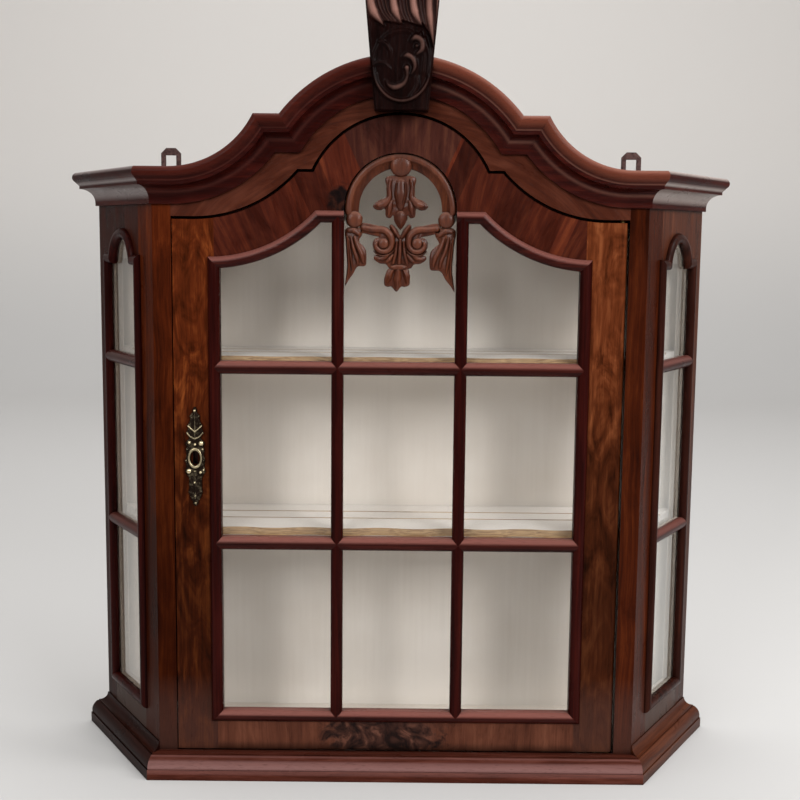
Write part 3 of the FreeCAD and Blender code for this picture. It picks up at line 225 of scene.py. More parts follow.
def walnut(name, look):
    s = woodSettings
    material, place = newMaterial(name)
    split = axes(place)
    grain = fanPlace(split, look["fan"]) if look.get("fan") else place
    turn = grainTurns[look.get("grain", "level")]
    shift = look.get("shift", (0, 0, 0))
    warp = feed("TexNoise", {"Vector": grain, "Scale": 1 / s["warpLength"], "Detail": 1.0}, 1)
    swing = vectorCalc("SUBTRACT", {0: warp, 1: (0.5, 0.5, 0.5)})
    swing = vectorCalc("SCALE", {0: swing, "Scale": look.get("warp", 1) * s["warpReach"]})
    grain = vectorCalc("ADD", {0: grain, 1: swing})

    def layer(key, distortion=0.0):
        along, across, detail = s[key]
        lengthened = stretched(grain, turn, (along, across, across), shift)
        return noise(lengthened, 1, detail, s["layerRoughness"], distortion)

    figure = layer("figure", look.get("curl", s["curl"]))
    mixture = calc("MULTIPLY", layer("streak"), 1 - look["figure"])
    mixture = calc("ADD", mixture, calc("MULTIPLY", figure, look["figure"]))
    fine = swayed(layer("fineStreak"), look.get("fine", s["fine"]))
    colour = woodRamp(calc("ADD", mixture, fine), s["toneShares"], look)
    if look.get("leaves"):
        colour = veneerLeaves(split, colour, look["leaves"])
    for patch in look.get("patches", []):
        colour = burlPatch(place, colour, patch)
    # a grey ramp by height multiplies the colour: partly the wood's own tone, partly painted light and
    # painted shade by height
    if look.get("toneAndShadeByHeight"):
        toneAndShadeByHeight = look["toneAndShadeByHeight"]
        height = calc("ADD", split[2], swayed(figure, toneAndShadeByHeight["drift"]))
        shade = greys(spread(height, toneAndShadeByHeight["foot"], toneAndShadeByHeight["head"]), toneAndShadeByHeight["stops"])
        colour = mixColour(1.0, colour, shade, "MULTIPLY")
    # a lighter colour on the most forward parts, a painted highlight with some wear, and a painted highlight
    # by how far a face looks up
    upward = axes(place.node.outputs["Normal"])[2]
    for level, cover in ((split[1], look.get("wearAndHighlight")), (upward, look.get("upwardHighlight"))):
        if cover:
            share = spread(level, *cover["reach"], 0.0, cover["share"], True)
            colour = mixColour(share, colour, cover["colour"])
    gloss = look.get("specular", s["specular"])
    if look.get("sheen"):
        sheen = look["sheen"]
        level = split[sheen.get("axis", 2)]
        share = greys(spread(level, sheen["foot"], sheen["head"]), sheen["stops"])
        colour = mixColour(share, colour, sheen["colour"])
        gloss = calc("MULTIPLY", spread(share, 0.0, 1.0, sheen["dull"], 1.0), gloss)
    dash = spread(layer("pore"), *s["poreShares"])
    colour = mixColour(calc("MULTIPLY", dash, s["poreTone"]), colour, look["dark"])
    # painted shade: the colour is darkened in crevices by ambient occlusion
    paintedCreviceShade = spread(crevices(place, s["creviceReach"]), *s["creviceShade"])
    colour = mixColour(1.0, colour, paintedCreviceShade, "MULTIPLY")
    rough = spread(figure, *s["roughFigure"], *s["roughness"])
    relief = (calc("SUBTRACT", 1.0, dash), s["poreStrength"], s["poreDepth"])
    surface = coat(colour, rough, relief, specular=gloss)
    if look.get("inside"):
        surface = paintedInside(place, surface, look["inside"], look.get("paintFrom"))
    return closeMaterial(material, surface)


def veneer(name, look, *names):
    dress(walnut(name, look), *names)


# Off-white paint on the faces of a frame member that look into the cabinet
paintSettings = {"colour": tone(240, 234, 226), "shade": tone(226, 218, 208), "toneShares": (0.3, 0.6),
                 "brush": (0.12, 0.004), "brushShare": 0.2, "brushStrength": 0.4, "brushDepth": 0.00006,
                 "detail": 3, "cloud": 9, "cloudRoughness": 0.6, "cornerReach": 0.02,
                 "cornerShade": (0.2, 0.8, 0.8, 1.0), "roughness": 0.55, "facing": (0.55, 0.6), "edge": 0.001}


def paintShader(place, look=paintSettings):
    s = paintSettings
    along, across = s["brush"]
    brush = noise(stretched(place, grainTurns["up"], (along, across, across)), 1, s["detail"])
    cloud = noise(place, s["cloud"], s["detail"], s["cloudRoughness"])
    share = calc("MULTIPLY", brush, s["brushShare"])
    share = calc("ADD", share, calc("MULTIPLY", cloud, 1 - s["brushShare"]))
    colour = ramp(share, s["toneShares"], (look["shade"], look["colour"]))
    # painted shade: the paint is darkened in its corners by ambient occlusion
    paintedCornerShade = spread(crevices(place, s["cornerReach"]), *s["cornerShade"])
    colour = mixColour(1.0, colour, paintedCornerShade, "MULTIPLY")
    return coat(colour, s["roughness"], (brush, s["brushStrength"], s["brushDepth"]))


def facingShare(place, direction):
    return vectorCalc("DOT_PRODUCT", {0: place.node.outputs["Normal"], 1: direction}, "Value")


def paintedInside(place, wood, directions, paintFrom):
    s = paintSettings
    share = -1.0
    for direction in directions:
        share = calc("MAXIMUM", facingShare(place, direction), share)
    share = spread(share, *s["facing"])
    if paintFrom is not None:
        share = calc("MULTIPLY", share, spread(axes(place)[1], paintFrom - s["edge"], paintFrom))
    return feed("MixShader", {0: share, 1: wood, 2: paintShader(place)})


# a pale sheen over the feet of the uprights, where the polish catches the floor
footSheen = {"foot": 0.05, "head": 0.095, "colour": tone(72, 49, 43), "dull": 0.5,
             "stops": [(0.0, 0.45), (0.45, 0.36), (1.0, 0.0)]}
# the stiles and frame members are darker low down and lighter higher up: partly the wood's own tone, partly
# painted light from above
stileLook = {
    **tones((27, 8, 2), (80, 32, 11), (134, 69, 30)),
    "grain": "up", "figure": 0.65, "curl": 1.8, "fine": 0.22, "sheen": footSheen,
    "toneAndShadeByHeight": {"foot": 0.02, "head": 0.52, "drift": 0.18,
             "stops": [(0.0, 0.46), (0.3, 0.32), (0.55, 0.52), (0.75, 1.0), (0.95, 1.1)]},
}
frameLook = {
    **tones((32, 10, 5), (58, 22, 11), (82, 37, 18)), "grain": "up", "figure": 0.4,
    "toneAndShadeByHeight": {"foot": 0.0, "head": 0.55, "drift": 0.12, "stops": [(0.0, 0.6), (0.35, 0.65), (1.0, 1.1)]},
}
veneer("walnutLockStile", {**stileLook, "shift": (0.31, 0.12, 0.05)}, "door_lock_stile")
# the hinge stile is a lighter copy of the lock stile, painted light falling from the right
hingeLook = {**stileLook, "middle": tone(90, 42, 20), "light": tone(132, 74, 42), "shift": (0.77, 0.43, 0.21)}
veneer("walnutHingeStile", hingeLook, "door_hinge_stile")
# the canted sides are walnut outside and painted on the faces behind their glass
# the left side has darker tones and the right lighter ones, and the posts lighten with height in different
# ways on each side: painted shade and painted light, as light falls from the right
postStops = {"left": [(0.0, 0.42), (0.4, 0.48), (1.0, 1.25)], "right": [(0.0, 0.8), (0.4, 0.75), (1.0, 0.7)]}
sideShifts = {"left": (0.15, 0.6, 0.3), "right": (0.55, 0.2, 0.9)}
sideTones = {"left": {**tones((24, 6, 3), (45, 15, 8), (66, 28, 16)), "specular": 0.02},
             "right": {**tones((36, 14, 7), (67, 31, 17), (94, 51, 32)), "specular": 0.06}}
for side, way in (("left", 1), ("right", -1)):
    shift = sideShifts[side]
    inward = (way * math.sin(cant), math.cos(cant), 0)
    rearward = (-way * math.cos(cant), math.sin(cant), 0)
    forward = (way * math.cos(cant), -math.sin(cant), 0)
    post = {**frameLook, "middle": tone(66, 24, 8), "light": tone(94, 41, 16), "shift": shift,
            "specular": sideTones[side]["specular"], "sheen": footSheen,
            "toneAndShadeByHeight": {**frameLook["toneAndShadeByHeight"], "stops": postStops[side]}, "inside": [(0, 1, 0), rearward]}
    veneer("walnutPost_" + side, post, "corner_post_" + side)
    upright = {**frameLook, **sideTones[side], "shift": shift, "inside": [inward, forward]}
    veneer("walnutSideStile_" + side, upright, "side_rear_stile_" + side)
    topLook = {**upright, "shift": (shift[1], shift[2], shift[0]),
               "inside": [inward, rearward, forward, (0, 0, -1)]}
    veneer("walnutSideTopRail_" + side, topLook, "side_top_rail_" + side)
    bottomLook = {**topLook, "inside": [inward, (0, 0, 1)],
                  "sheen": {**footSheen, "colour": tone(88, 76, 70)}}
    veneer("walnutSideBottomRail_" + side, bottomLook, "side_bottom_rail_" + side)

topRailLook = {
    **tones((37, 12, 7), (66, 26, 16), (96, 45, 26)),
    "figure": 0.55, "curl": 1.2, "fine": 0.1, "shift": (0.2, 0.4, 0.1),
    "fan": {"level": 0.2, "radius": 0.33, "round": False},
    "leaves": {"level": 0.55, "lean": 0.45, "reach": 0.2, "turn": 0.04, "tints": [
        (0.0, (0.9, 0.8, 0.75)), (0.1, (0.7, 0.62, 0.6)), (0.16, (0.95, 0.85, 0.8)),
        (0.235, (1.35, 1.25, 1.1)), (0.26, (0.75, 0.68, 0.65)), (0.33, (1.25, 1.2, 1.15)),
        (0.411, (0.78, 1.1, 1.5)), (0.5, (0.95, 1.4, 1.9)), (0.594, (1.5, 1.4, 1.3)),
        (0.604, (0.55, 0.55, 0.6)), (0.65, (0.95, 0.92, 0.9)), (0.74, (0.72, 0.68, 0.66)),
        (0.82, (0.95, 0.88, 0.82)), (0.9, (1.45, 1.4, 1.2)), (0.93, (0.85, 0.8, 0.75))]},
    "patches": [{"centre": (-0.054, -0.0475, 0.526), "size": (0.011, 0.05, 0.014), "cloud": 0.02,
                 **tones((14, 8, 8), (26, 13, 11), (48, 24, 17))}],
}
veneer("walnutTopRail", topRailLook, "door_top_rail")
# the bottom rail is darker towards its foot
bottomRailLook = {
    **tones((58, 29, 20), (86, 48, 34), (112, 68, 50)),
    "grain": "up", "figure": 0.55, "fine": 0.22, "shift": (0.9, 0.1, 0.4),
    "toneAndShadeByHeight": {"foot": 0.0245, "head": 0.034, "drift": 0.002,
             "stops": [(0.0, 0.3), (0.4, 0.6), (0.75, 0.95), (1.0, 1.0)]},
    "patches": [{"centre": (-0.012, -0.0475, 0.04), "size": (0.06, 0.06, 0.03), "cloud": 0.02,
                 **tones((26, 15, 13), (60, 36, 29), (94, 60, 48))}],
}
veneer("walnutBottomRail", bottomRailLook, "door_bottom_rail")
friezeLook = {
    **tones((42, 16, 9), (69, 31, 19), (92, 48, 33)),
    "figure": 0.55, "curl": 1.4, "fine": 0.18, "shift": (0.6, 0.8, 0.2),
    "fan": {"level": 0.36, "radius": 0.2, "round": True},
    "inside": [(0, 1, 0)],
}
veneer("walnutFrieze", friezeLook, "pediment_board")
corniceLook = {
    **tones((24, 4, 3), (48, 10, 6), (72, 24, 15)),
    "figure": 0.3, "specular": 0.09, "shift": (0.1, 0.2, 0.7),
}
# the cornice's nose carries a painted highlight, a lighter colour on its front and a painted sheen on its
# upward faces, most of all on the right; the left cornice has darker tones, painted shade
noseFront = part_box("cornice_arch_right")[0].y
noseLightAndShade = {"left": {"share": 0.28, "colour": tone(84, 36, 26), "upwardHighlight": tone(82, 41, 34),
                     "sheen": tone(122, 110, 108),
                     "tones": {"middle": tone(42, 8, 5), "light": tone(64, 19, 12), "specular": 0.05}},
            "right": {"share": 0.5, "colour": tone(122, 65, 47), "upwardHighlight": tone(134, 88, 74),
                      "sheen": tone(150, 136, 130), "tones": {}}}
# the left base return has darker tones than the right, painted shade
baseTones = {"left": {**tones((16, 4, 2), (30, 10, 6), (48, 20, 13)), "specular": 0.03},
             "right": sideTones["right"]}
# sheen on the cove, under the nose and on the top edge of the level returns, from their foot to their head
returnSheen = [(0.15, 0.0), (0.3, 0.85), (0.43, 1.0), (0.52, 0.75), (0.545, 0.0), (0.6, 0.0), (0.66, 1.0),
               (0.74, 0.0), (0.91, 0.0), (1.0, 1.0)]
for side, grain in (("left", "sideLeft"), ("right", "sideRight")):
    noseLight = noseLightAndShade[side]
    wearAndHighlight = {"reach": (noseFront + 0.005, noseFront + 0.001), "share": noseLight["share"], "colour": noseLight["colour"]}
    upwardHighlight = {"reach": (0.1, 0.7), "share": 0.55, "colour": noseLight["upwardHighlight"]}
    # thin lines of sheen under the nose and low in the cove, by their depth behind the nose
    lines = {"axis": 1, "foot": noseFront, "head": noseFront + 0.02, "colour": noseLight["upwardHighlight"], "dull": 1.0,
             "stops": [(0.2, 0.0), (0.25, 0.5), (0.275, 0.5), (0.285, 0.0), (0.76, 0.0), (0.84, 0.4),
                       (0.9, 0.0)]}
    nose = {**corniceLook, **noseLight["tones"], "wearAndHighlight": wearAndHighlight, "upwardHighlight": upwardHighlight, "sheen": lines}
    veneer("walnutCornice_" + side, nose, *[f"cornice_{run}_{side}" for run in ("sweep", "step", "arch")])
    sheen = {"foot": 0.520, "head": 0.552, "colour": noseLight["sheen"], "dull": 0.3, "stops": returnSheen}
    veneer("walnutReturn_" + side, {**corniceLook, "grain": grain, "sheen": sheen}, "cornice_return_" + side)
    baseSide = {**baseTones[side], "grain": grain, "figure": 0.3, "shift": (0.4, 0.3, 0.6)}
    veneer("walnutBaseSide_" + side, baseSide, "base_moulding_" + side)
# the base front is darker towards its top and lighter low down by a ramp with height, painted shade and
# painted light, and it carries bands of painted sheen
baseLook = {
    **tones((48, 19, 13), (76, 35, 25), (104, 58, 48)),
    "figure": 0.3, "specular": 0.14, "shift": (0.5, 0.1, 0.3),
    "toneAndShadeByHeight": {"foot": 0.0, "head": 0.025, "drift": 0.004,
             "stops": [(0.0, 0.95), (0.18, 0.95), (0.26, 1.2), (0.4, 1.2), (0.52, 0.9), (0.7, 0.75),
                       (1.0, 0.72)]},
    "sheen": {"foot": 0.0, "head": 0.025, "colour": tone(126, 90, 86), "dull": 0.3,
              "stops": [(0.19, 0.0), (0.27, 0.25), (0.37, 0.3), (0.44, 0.95), (0.5, 0.95), (0.68, 0.5),
                        (0.75, 0.0), (0.81, 0.0), (0.85, 0.25), (0.88, 0.0)]},
}
veneer("walnutBaseFront", baseLook, "base_moulding_front")
# the floor of the cabinet is painted behind the closed door only
floorLook = {**frameLook, "grain": "level", "inside": [(0, 0, 1)], "paintFrom": -0.031}
veneer("walnutFloorBoard", floorLook, "base_board")
beadLook = {
    **tones((20, 3, 2), (39, 6, 4), (59, 16, 10)),
    "grain": "up", "figure": 0.2, "warp": 0.4, "specular": 0.05,
}
veneer("beadUpright", beadLook, "door_bead_left", "door_bead_right", "door_muntin_left", "door_muntin_right",
       "side_bead_left")
veneer("beadSideUpright", {**beadLook, **tones((22, 7, 4), (42, 16, 10), (62, 29, 19))}, "side_bead_right")
# level beads and bars carry a lighter colour on their upward faces, a painted highlight
beadRed = {**beadLook, "middle": tone(46, 11, 7), "light": tone(70, 24, 16), "grain": "level",
           "specular": 0.1, "upwardHighlight": {"reach": (0.0, 0.5), "share": 0.6, "colour": tone(140, 88, 79)}}
veneer("beadLevel", beadRed, "door_bead_bottom", "door_bead_top_left", "door_bead_top_right",
       "door_bar_upper", "door_bar_lower")
# the side bars carry the same painted highlight, less of it on the left side, which is in shade
for side, grain, share in (("left", "sideLeft", 0.12), ("right", "sideRight", 0.35)):
    sideUpwardHighlight = {**beadRed["upwardHighlight"], "share": share}
    veneer("beadSide_" + side, {**beadRed, "grain": grain, "upwardHighlight": sideUpwardHighlight}, "side_bars_" + side)
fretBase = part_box("carved_fretwork")[1].y
# the carving's most forward parts and its upward faces carry a lighter colour, painted highlights
carvedLook = {
    **tones((40, 16, 9), (76, 35, 20), (108, 57, 33)),
    "grain": "up", "figure": 0.35, "specular": 0.2,
    "wearAndHighlight": {"reach": (fretBase - 0.0046, fretBase - 0.0068), "share": 0.3, "colour": tone(106, 64, 50)},
    "upwardHighlight": {"reach": (0.15, 0.75), "share": 0.45, "colour": tone(146, 106, 92)},
}
carvedWood = walnut("carvedWalnut", carvedLook)
dress(carvedWood, "carved_fretwork", "keystone")
print("veneers, mouldings and beads are finished")


# Painted boards, shelves, putty, metal and glass

interiorPaint, paintPlace = newMaterial("interiorPaint")
dress(closeMaterial(interiorPaint, paintShader(paintPlace)), "shelf_cleats", "door_stop")

# back and roof are bare boards outside and painted inside
boardLook = {**tones((84, 58, 36), (120, 88, 58), (146, 112, 78)),
             "grain": "up", "figure": 0.25, "shift": (0.7, 0.3, 0.2)}
veneer("bareBack", {**boardLook, "inside": [(0, -1, 0)]}, "back_panel")
roofLook = {**boardLook, "grain": "level", "inside": [(0.5, 0, -0.87), (-0.5, 0, -0.87)]}
veneer("bareRoof", roofLook, "roof_panel")

# shelves are painted, with a bare front edge; their paint is a lighter copy of the interior paint, painted
# light for the light that falls on their tops
shelfSettings = {"edgeDark": tone(150, 118, 84), "edgeLight": tone(196, 164, 124), "fibre": (0.05, 0.0012),
                 "detail": 3, "toneShares": (0.35, 0.62), "roughness": 0.6, "facing": (0.55, 0.65),
                 "shade": tone(246, 241, 235), "colour": tone(253, 250, 246)}


def shelfFinish(name):
    s = shelfSettings
    material, place = newMaterial(name)
    along, across = s["fibre"]
    fibre = noise(stretched(place, (0, 0, 0), (along, across, across)), 1, s["detail"])
    bare = coat(ramp(fibre, s["toneShares"], (s["edgeDark"], s["edgeLight"])), s["roughness"])
    share = spread(facingShare(place, (0, -1, 0)), *s["facing"])
    return closeMaterial(material, feed("MixShader", {0: share, 1: paintShader(place, s), 2: bare}))


dress(shelfFinish("paintedShelf"), "shelf_lower", "shelf_upper")

puttySettings = {"dark": tone(226, 218, 206), "light": tone(246, 241, 232), "toneShares": (0.3, 0.7),
                 "lump": 160, "detail": 3, "lumpRoughness": 0.6, "strength": 0.5, "depth": 0.0003,
                 "roughness": 0.7}


def puttyFinish(name):
    s = puttySettings
    material, place = newMaterial(name)
    lump = noise(place, s["lump"], s["detail"], s["lumpRoughness"])
    colour = ramp(lump, s["toneShares"], (s["dark"], s["light"]))
    return closeMaterial(material, coat(colour, s["roughness"], (lump, s["strength"], s["depth"])))


dress(puttyFinish("paintedPutty"), "door_putty", "side_putty")

glassSettings = {"tint": (0.965, 0.96, 0.955, 1), "shadedTint": (0.86, 0.835, 0.815, 1), "mirror": 0.03,
                 "mirrorTint": (0.9, 0.92, 0.91, 1), "edgeBlend": 0.5, "edgePower": 3.5, "wave": 0.07,
                 "waveStrength": 0.3, "waveDepth": 0.0006, "roughness": 0.03}


def oldGlass(name, tint):
    s = glassSettings
    material, place = newMaterial(name)
    wave = noise(place, 1 / s["wave"], 1)
    edge = addNode(material.node_tree, "LayerWeight", {"Blend": s["edgeBlend"]}).outputs["Facing"]
    share = spread(calc("POWER", edge, s["edgePower"]), 0, 1, s["mirror"], 1)
    clear = addNode(material.node_tree, "BsdfTransparent", {"Color": tint}).outputs[0]
    mirror = coat(s["mirrorTint"], s["roughness"], (wave, s["waveStrength"], s["waveDepth"]), 1.0)
    return closeMaterial(material, feed("MixShader", {0: share, 1: clear, 2: mirror}))


dress(oldGlass("oldSheetGlass", glassSettings["tint"]), "door_panes", "side_panes_right")
# the left side's panes have a darker tint: painted shade, as light falls from the right
dress(oldGlass("shadedSheetGlass", glassSettings["shadedTint"]), "side_panes_left")

# Blotched metal, which is bright on its high places when a relief is given
metalSettings = {"detail": 4, "blotchRoughness": 0.65, "toneShares": (0.35, 0.65), "roughShares": (0.3, 0.7),
                 "drift": 0.7, "strength": 0.3, "depth": 0.0001}


def wornMetal(name, look):
    s = metalSettings
    material, place = newMaterial(name)
    blotch = noise(place, 1 / look["blotch"], s["detail"], s["blotchRoughness"])
    if look.get("relief"):
        wearAndHighlight = calc("ADD", spread(axes(place)[1], *look["relief"]), swayed(blotch, s["drift"]), True)
        colour = mixColour(wearAndHighlight, look["dark"], look["bright"])
        rough = spread(wearAndHighlight, 0, 1, *look["roughness"])
    else:
        colour = ramp(blotch, s["toneShares"], (look["dark"], look["bright"]))
        rough = spread(blotch, *s["roughShares"], *look["roughness"])
    return closeMaterial(material, coat(colour, rough, (blotch, s["strength"], s["depth"]), 1.0))


ironLook = {"dark": tone(50, 36, 35), "bright": tone(98, 76, 73), "blotch": 0.003, "roughness": (0.4, 0.65)}
brassLook = {"dark": tone(40, 30, 18), "bright": tone(112, 88, 52), "blotch": 0.004, "roughness": (0.35, 0.6)}
dress(wornMetal("darkIron", ironLook), "hanger_left", "hanger_right", "hanger_screws", "lock_case",
      "lock_bolt")
dress(wornMetal("antiqueBrass", brassLook), "escutcheon_plate", "lock_keep", "pivot_plates", "door_pivots")
print("paint, putty, glass and metal are finished")


# Carving. All carved pieces are drawn in millimetres and brought to metres when their mesh is made.
millimetre = 0.001
sharpAngle = math.radians(50)


def addObject(name, data):
    made = bpy.data.objects.new(name, data)
    bpy.context.scene.collection.objects.link(made)
    return made


def smoothPath(points, steps=6):
    points = np.array(points, float)
    padded = np.vstack([2 * points[0] - points[1], points, 2 * points[-1] - points[-2]])
    made = []
    for a, b, c, d in zip(padded, padded[1:], padded[2:], padded[3:]):
        for t in np.arange(steps) / steps:
            made.append(0.5 * (2 * b + (c - a) * t + (2 * a - 5 * b + 4 * c - d) * t ** 2
                               + (3 * b - a - 3 * c + d) * t ** 3))
    return np.array(made + [points[-1]])


class Shells:
    def __init__(self):
        self.points = []
        self.faces = []

    # a closed skin over rows of points, with a cap at both ends
    def grid(self, rows):
        start, count = len(self.points), len(rows[0])
        last = start + (len(rows) - 1) * count
        self.points += [tuple(point) for row in rows for point in row]
        for i in range(start, last, count):
            for j in range(count):
                k = (j + 1) % count
                self.faces.append((i + j, i + k, i + count + k, i + count + j))
        self.faces.append(tuple(range(start, start + count))[::-1])
        self.faces.append(tuple(range(last, last + count)))

    def piece(self, name, material, body, node, slot):
        mesh = bpy.data.meshes.new(name)
        points = [tuple(value * millimetre for value in point) for point in self.points]
        mesh.from_pydata(points, [], self.faces)
        work = bmesh.new()
        work.from_mesh(mesh)
        bmesh.ops.recalc_face_normals(work, faces=work.faces[:])
        work.to_mesh(mesh)
        work.free()
        mesh.shade_smooth()
        mesh.set_sharp_from_angle(angle=sharpAngle)
        mesh.materials.append(material)
        made = addObject(name, mesh)
        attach(made, body)
        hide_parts(node)


roundSection = [(math.cos(math.pi * (1 - j / 10)), math.sin(math.pi * j / 10)) for j in range(11)]
ringSection = [(-1, 0.15), (-0.92, 0.25), (-0.05, 0.62), (0.05, 0.9), (0.2, 1.0), (0.55, 0.98), (0.85, 0.86),
               (1, 0.6)]
keelSection = [(-1, 0.30), (-0.7, 0.62), (-0.3, 0.85), (0, 1.0), (0.3, 0.85), (0.7, 0.62), (1, 0.30)]


# One carved blade: a path with half widths and heights along it, rounded ends and a section across it
bladeSettings = {"steps": 9, "leastTaper": 0.04, "blunt": 0.4, "leastRise": 0.06}


def blade(shells, points, widths, heights, base, section=roundSection, side=1, centre=(0, 0)):
    s = bladeSettings
    path = smoothPath([(side * x + centre[0], z + centre[1]) for x, z in points], s["steps"])
    along = np.linspace(0, 1, len(path))
    half = np.interp(along, np.linspace(0, 1, len(widths)), widths)
    rise = np.interp(along, np.linspace(0, 1, len(heights)), heights)
    run = np.concatenate([[0], np.cumsum(np.linalg.norm(np.diff(path, axis=0), axis=1))])
    fromEnd = np.minimum(run, run[-1] - run)
    taper = np.sqrt(np.clip(1 - (1 - np.clip(fromEnd / half, 0, 1)) ** 2, s["leastTaper"], 1))
    half = half * taper
    rise = rise * taper ** s["blunt"]
    slope = np.gradient(path, axis=0)
    slope /= np.linalg.norm(slope, axis=1)[:, None]
    rows = []
    for (x, z), (dx, dz), w, h in zip(path, slope, half, rise):
        front = [(x - dz * u * w, base - max(level, s["leastRise"]) * h, z + dx * u * w)
                 for u, level in section]
        rows.append(front + [(front[-1][0], base, front[-1][2]), (front[0][0], base, front[0][2])])
    shells.grid(rows)


# A round boss turned about the line of sight, its profile as shares of its radius and height
buttonProfile = ((1, 0), (1, 0.55), (0.9, 0.8), (0.65, 0.95), (0.3, 1))
turnSteps = 32


def boss(shells, x, z, radius, height, base, tall=1.0):
    angles = [2 * math.pi * j / turnSteps for j in range(turnSteps)]
    rows = []
    for share, level in buttonProfile:
        wide, high = share * radius, tall * share * radius
        rows.append([(x + wide * math.cos(a), base - level * height, z + high * math.sin(a)) for a in angles])
    shells.grid(rows)


# Carved ring, tulip, scrolls and acanthus in the top middle pane, drawn about the centre of the ring
fretSettings = {
    "ringLevel": 517.5, "ringOuter": 49.0, "ringWidth": 12.5, "ringHeight": 6.6, "ringEnd": 9.0,
    "ringSteps": 25,
    # bosses by their place and radius, how far the scroll's boss stays back, and a lip round it
    "volute": (40.5, -8.5, 7.4), "crown": (0, 38.5, 9.7), "scroll": (14.8, -29.2, 5.0), "scrollBack": 0.2,
    "lipRadius": 10.8, "lipArc": (-165, -35, 9), "lip": ([0.5, 1.1, 0.5], [5.4, 6.2, 5.0]),
    "collar": (-1.3, -50.0, 7.8), "collarHeight": 5.8, "collarTall": 0.34,
    # half widths and heights follow each path
    "tulip": [
        ([(8.5, 28), (10, 20), (9.8, 11), (14.5, 5.4), (22, 3.6)],
         [2.6, 2.6, 3.2, 4.6, 2.2], [5.2, 5.6, 6.0, 6.9, 5.6]),
        ([(7.5, 9), (9.6, 1.8), (10.6, -6.4)], [2.0, 3.4, 1.4], [5.4, 6.2, 5.2]),
        ([(3.6, 24.5), (3.9, 14.5), (1.4, 4.5)], [0.8, 1.1, 0.6], [6.6, 7.0, 6.4])],
    "scrollArm": (
        [(35, -15.6), (25, -17.2), (15, -17.6), (8.6, -22.6), (7.6, -30), (11, -35.6), (17, -36.2),
         (21.2, -32), (20.4, -27.2)],
        [3.4, 3.4, 3.7, 3.7, 3.4, 3.2, 3.2, 3.0, 1.8], [5.2, 6.0, 6.8, 6.9, 6.6, 6.4, 6.6, 6.8, 6.9]),
    "underleaf": [
        ([(9, -38), (15, -42), (21, -43)], [1.8, 3.2, 2.0], [5.2, 5.8, 4.8]),
        ([(5.5, -38), (9.4, -43), (13, -46.5)], [1.8, 2.6, 1.8], [5.2, 5.8, 4.8]),
        ([(2.8, -26), (4.0, -38), (6.8, -48.5)], [1.6, 2.2, 2.2], [5.4, 6.2, 5.0])],
    "innerLeaf": ([(9.0, -12.5), (5.0, -18.5), (0.2, -26)], [1.6, 3.0, 1.8], [3.8, 5.6, 5.8]),
    "acanthus": [
        ([(47.5, -19), (41, -18), (35, -23)], [2.6, 3.6, 2.0], [5.0, 6.4, 5.2]),
        ([(47, -22), (45.8, -36), (45.2, -51), (48.2, -65.5)], [1.4, 1.8, 1.8, 0.5], [5.0, 5.6, 5.2, 4.6]),
        ([(45.6, -24), (43.6, -40), (41.6, -54)], [1.4, 2.0, 1.2], [5.0, 6.0, 4.8]),
        ([(43.8, -22), (41.2, -33), (38, -42), (37, -48.6)], [1.8, 2.4, 2.6, 1.4], [5.2, 6.4, 6.2, 5.0]),
        ([(40.5, -22), (37.6, -31), (33.6, -39.5), (32, -47.5)], [2.0, 2.8, 3.0, 1.6], [5.6, 6.9, 6.8, 5.2])],
    "middleForms": [
        ([(0, 28), (0, 14), (0, -1)], [5.4, 7.2, 3.2], [5.4, 6.5, 5.6]),
        ([(0, -24), (-0.3, -36), (-1.0, -49)], [1.8, 2.4, 2.6], [5.8, 6.8, 5.6])],
    "keeled": [
        ([(0.2, 0), (0.3, -8), (0.3, -17)], [5.6, 6.0, 0.6], [5.8, 6.9, 5.0]),
        ([(-5.0, -51), (-9.2, -58), (-11.4, -65.5)], [2.4, 3.6, 1.6], [5.2, 6.0, 4.8]),
        ([(2.4, -51), (5.6, -58), (6.2, -65.5)], [2.4, 3.6, 1.6], [5.2, 6.0, 4.8]),
        ([(-1.4, -50), (-2.2, -60), (-2.9, -71)], [3.6, 4.8, 0.9], [5.8, 7.0, 5.2])],
    # outlines of the solid forms under them, those on the middle line by their right half
    "tulipBody": [(12.0, 29), (11.8, 18), (12.4, 9.8), (17, 9.4), (21, 7.2), (24.2, 3.4), (22, 0.4),
                  (17.5, -0.2), (13.8, 1.0), (12.8, -5.6), (9.0, -7.0), (6.4, -4.6), (5.0, -10.5),
                  (0.6, -16.8)],
    "stemBody": [(1, -22), (5, -25), (7, -36), (15.5, -39.5), (22, -39.5), (23, -43), (18, -46.6),
                 (12.5, -47.5), (9, -51), (1, -51.5)],
    "armBody": [(34, -11.5), (20, -13.5), (11, -15.8), (6.2, -22), (5.4, -31), (9, -37), (15, -39.2),
                (22, -36), (24.4, -30), (22.6, -25.2), (18.5, -23.6), (23, -22.6), (31.5, -20.6),
                (35.5, -20)],
    "leafBody": [(48.4, -17), (40, -14.8), (33.4, -16.8), (33.8, -22), (36.4, -27.5), (33, -31),
                 (30.2, -35.3), (29.6, -44.3), (31, -49), (37.6, -49.8), (41.4, -56.2), (45.6, -62),
                 (48.4, -66), (46.8, -53), (45.6, -41.3), (47.6, -29)],
    "budBody": [(-9.0, -50.5), (-13.4, -58), (-13.8, -65), (-11, -67.2), (-7.6, -67), (-3, -71.4), (1, -67),
                (4.4, -67.2), (8.6, -65), (8.4, -58), (6.2, -50.5)],
    "bodyHeight": 3.4,
    # how much larger the acanthus grows across and down from its corner on each side
    "leafCorner": (48.0, -16.0), "growth": {-1: (1.0, 1.0), 1: (1.2, 1.1)},
}
# insets of a solid form at shares of its height
formProfile = ((0, 0), (0, 0.6), (0.3, 0.86), (0.8, 1))


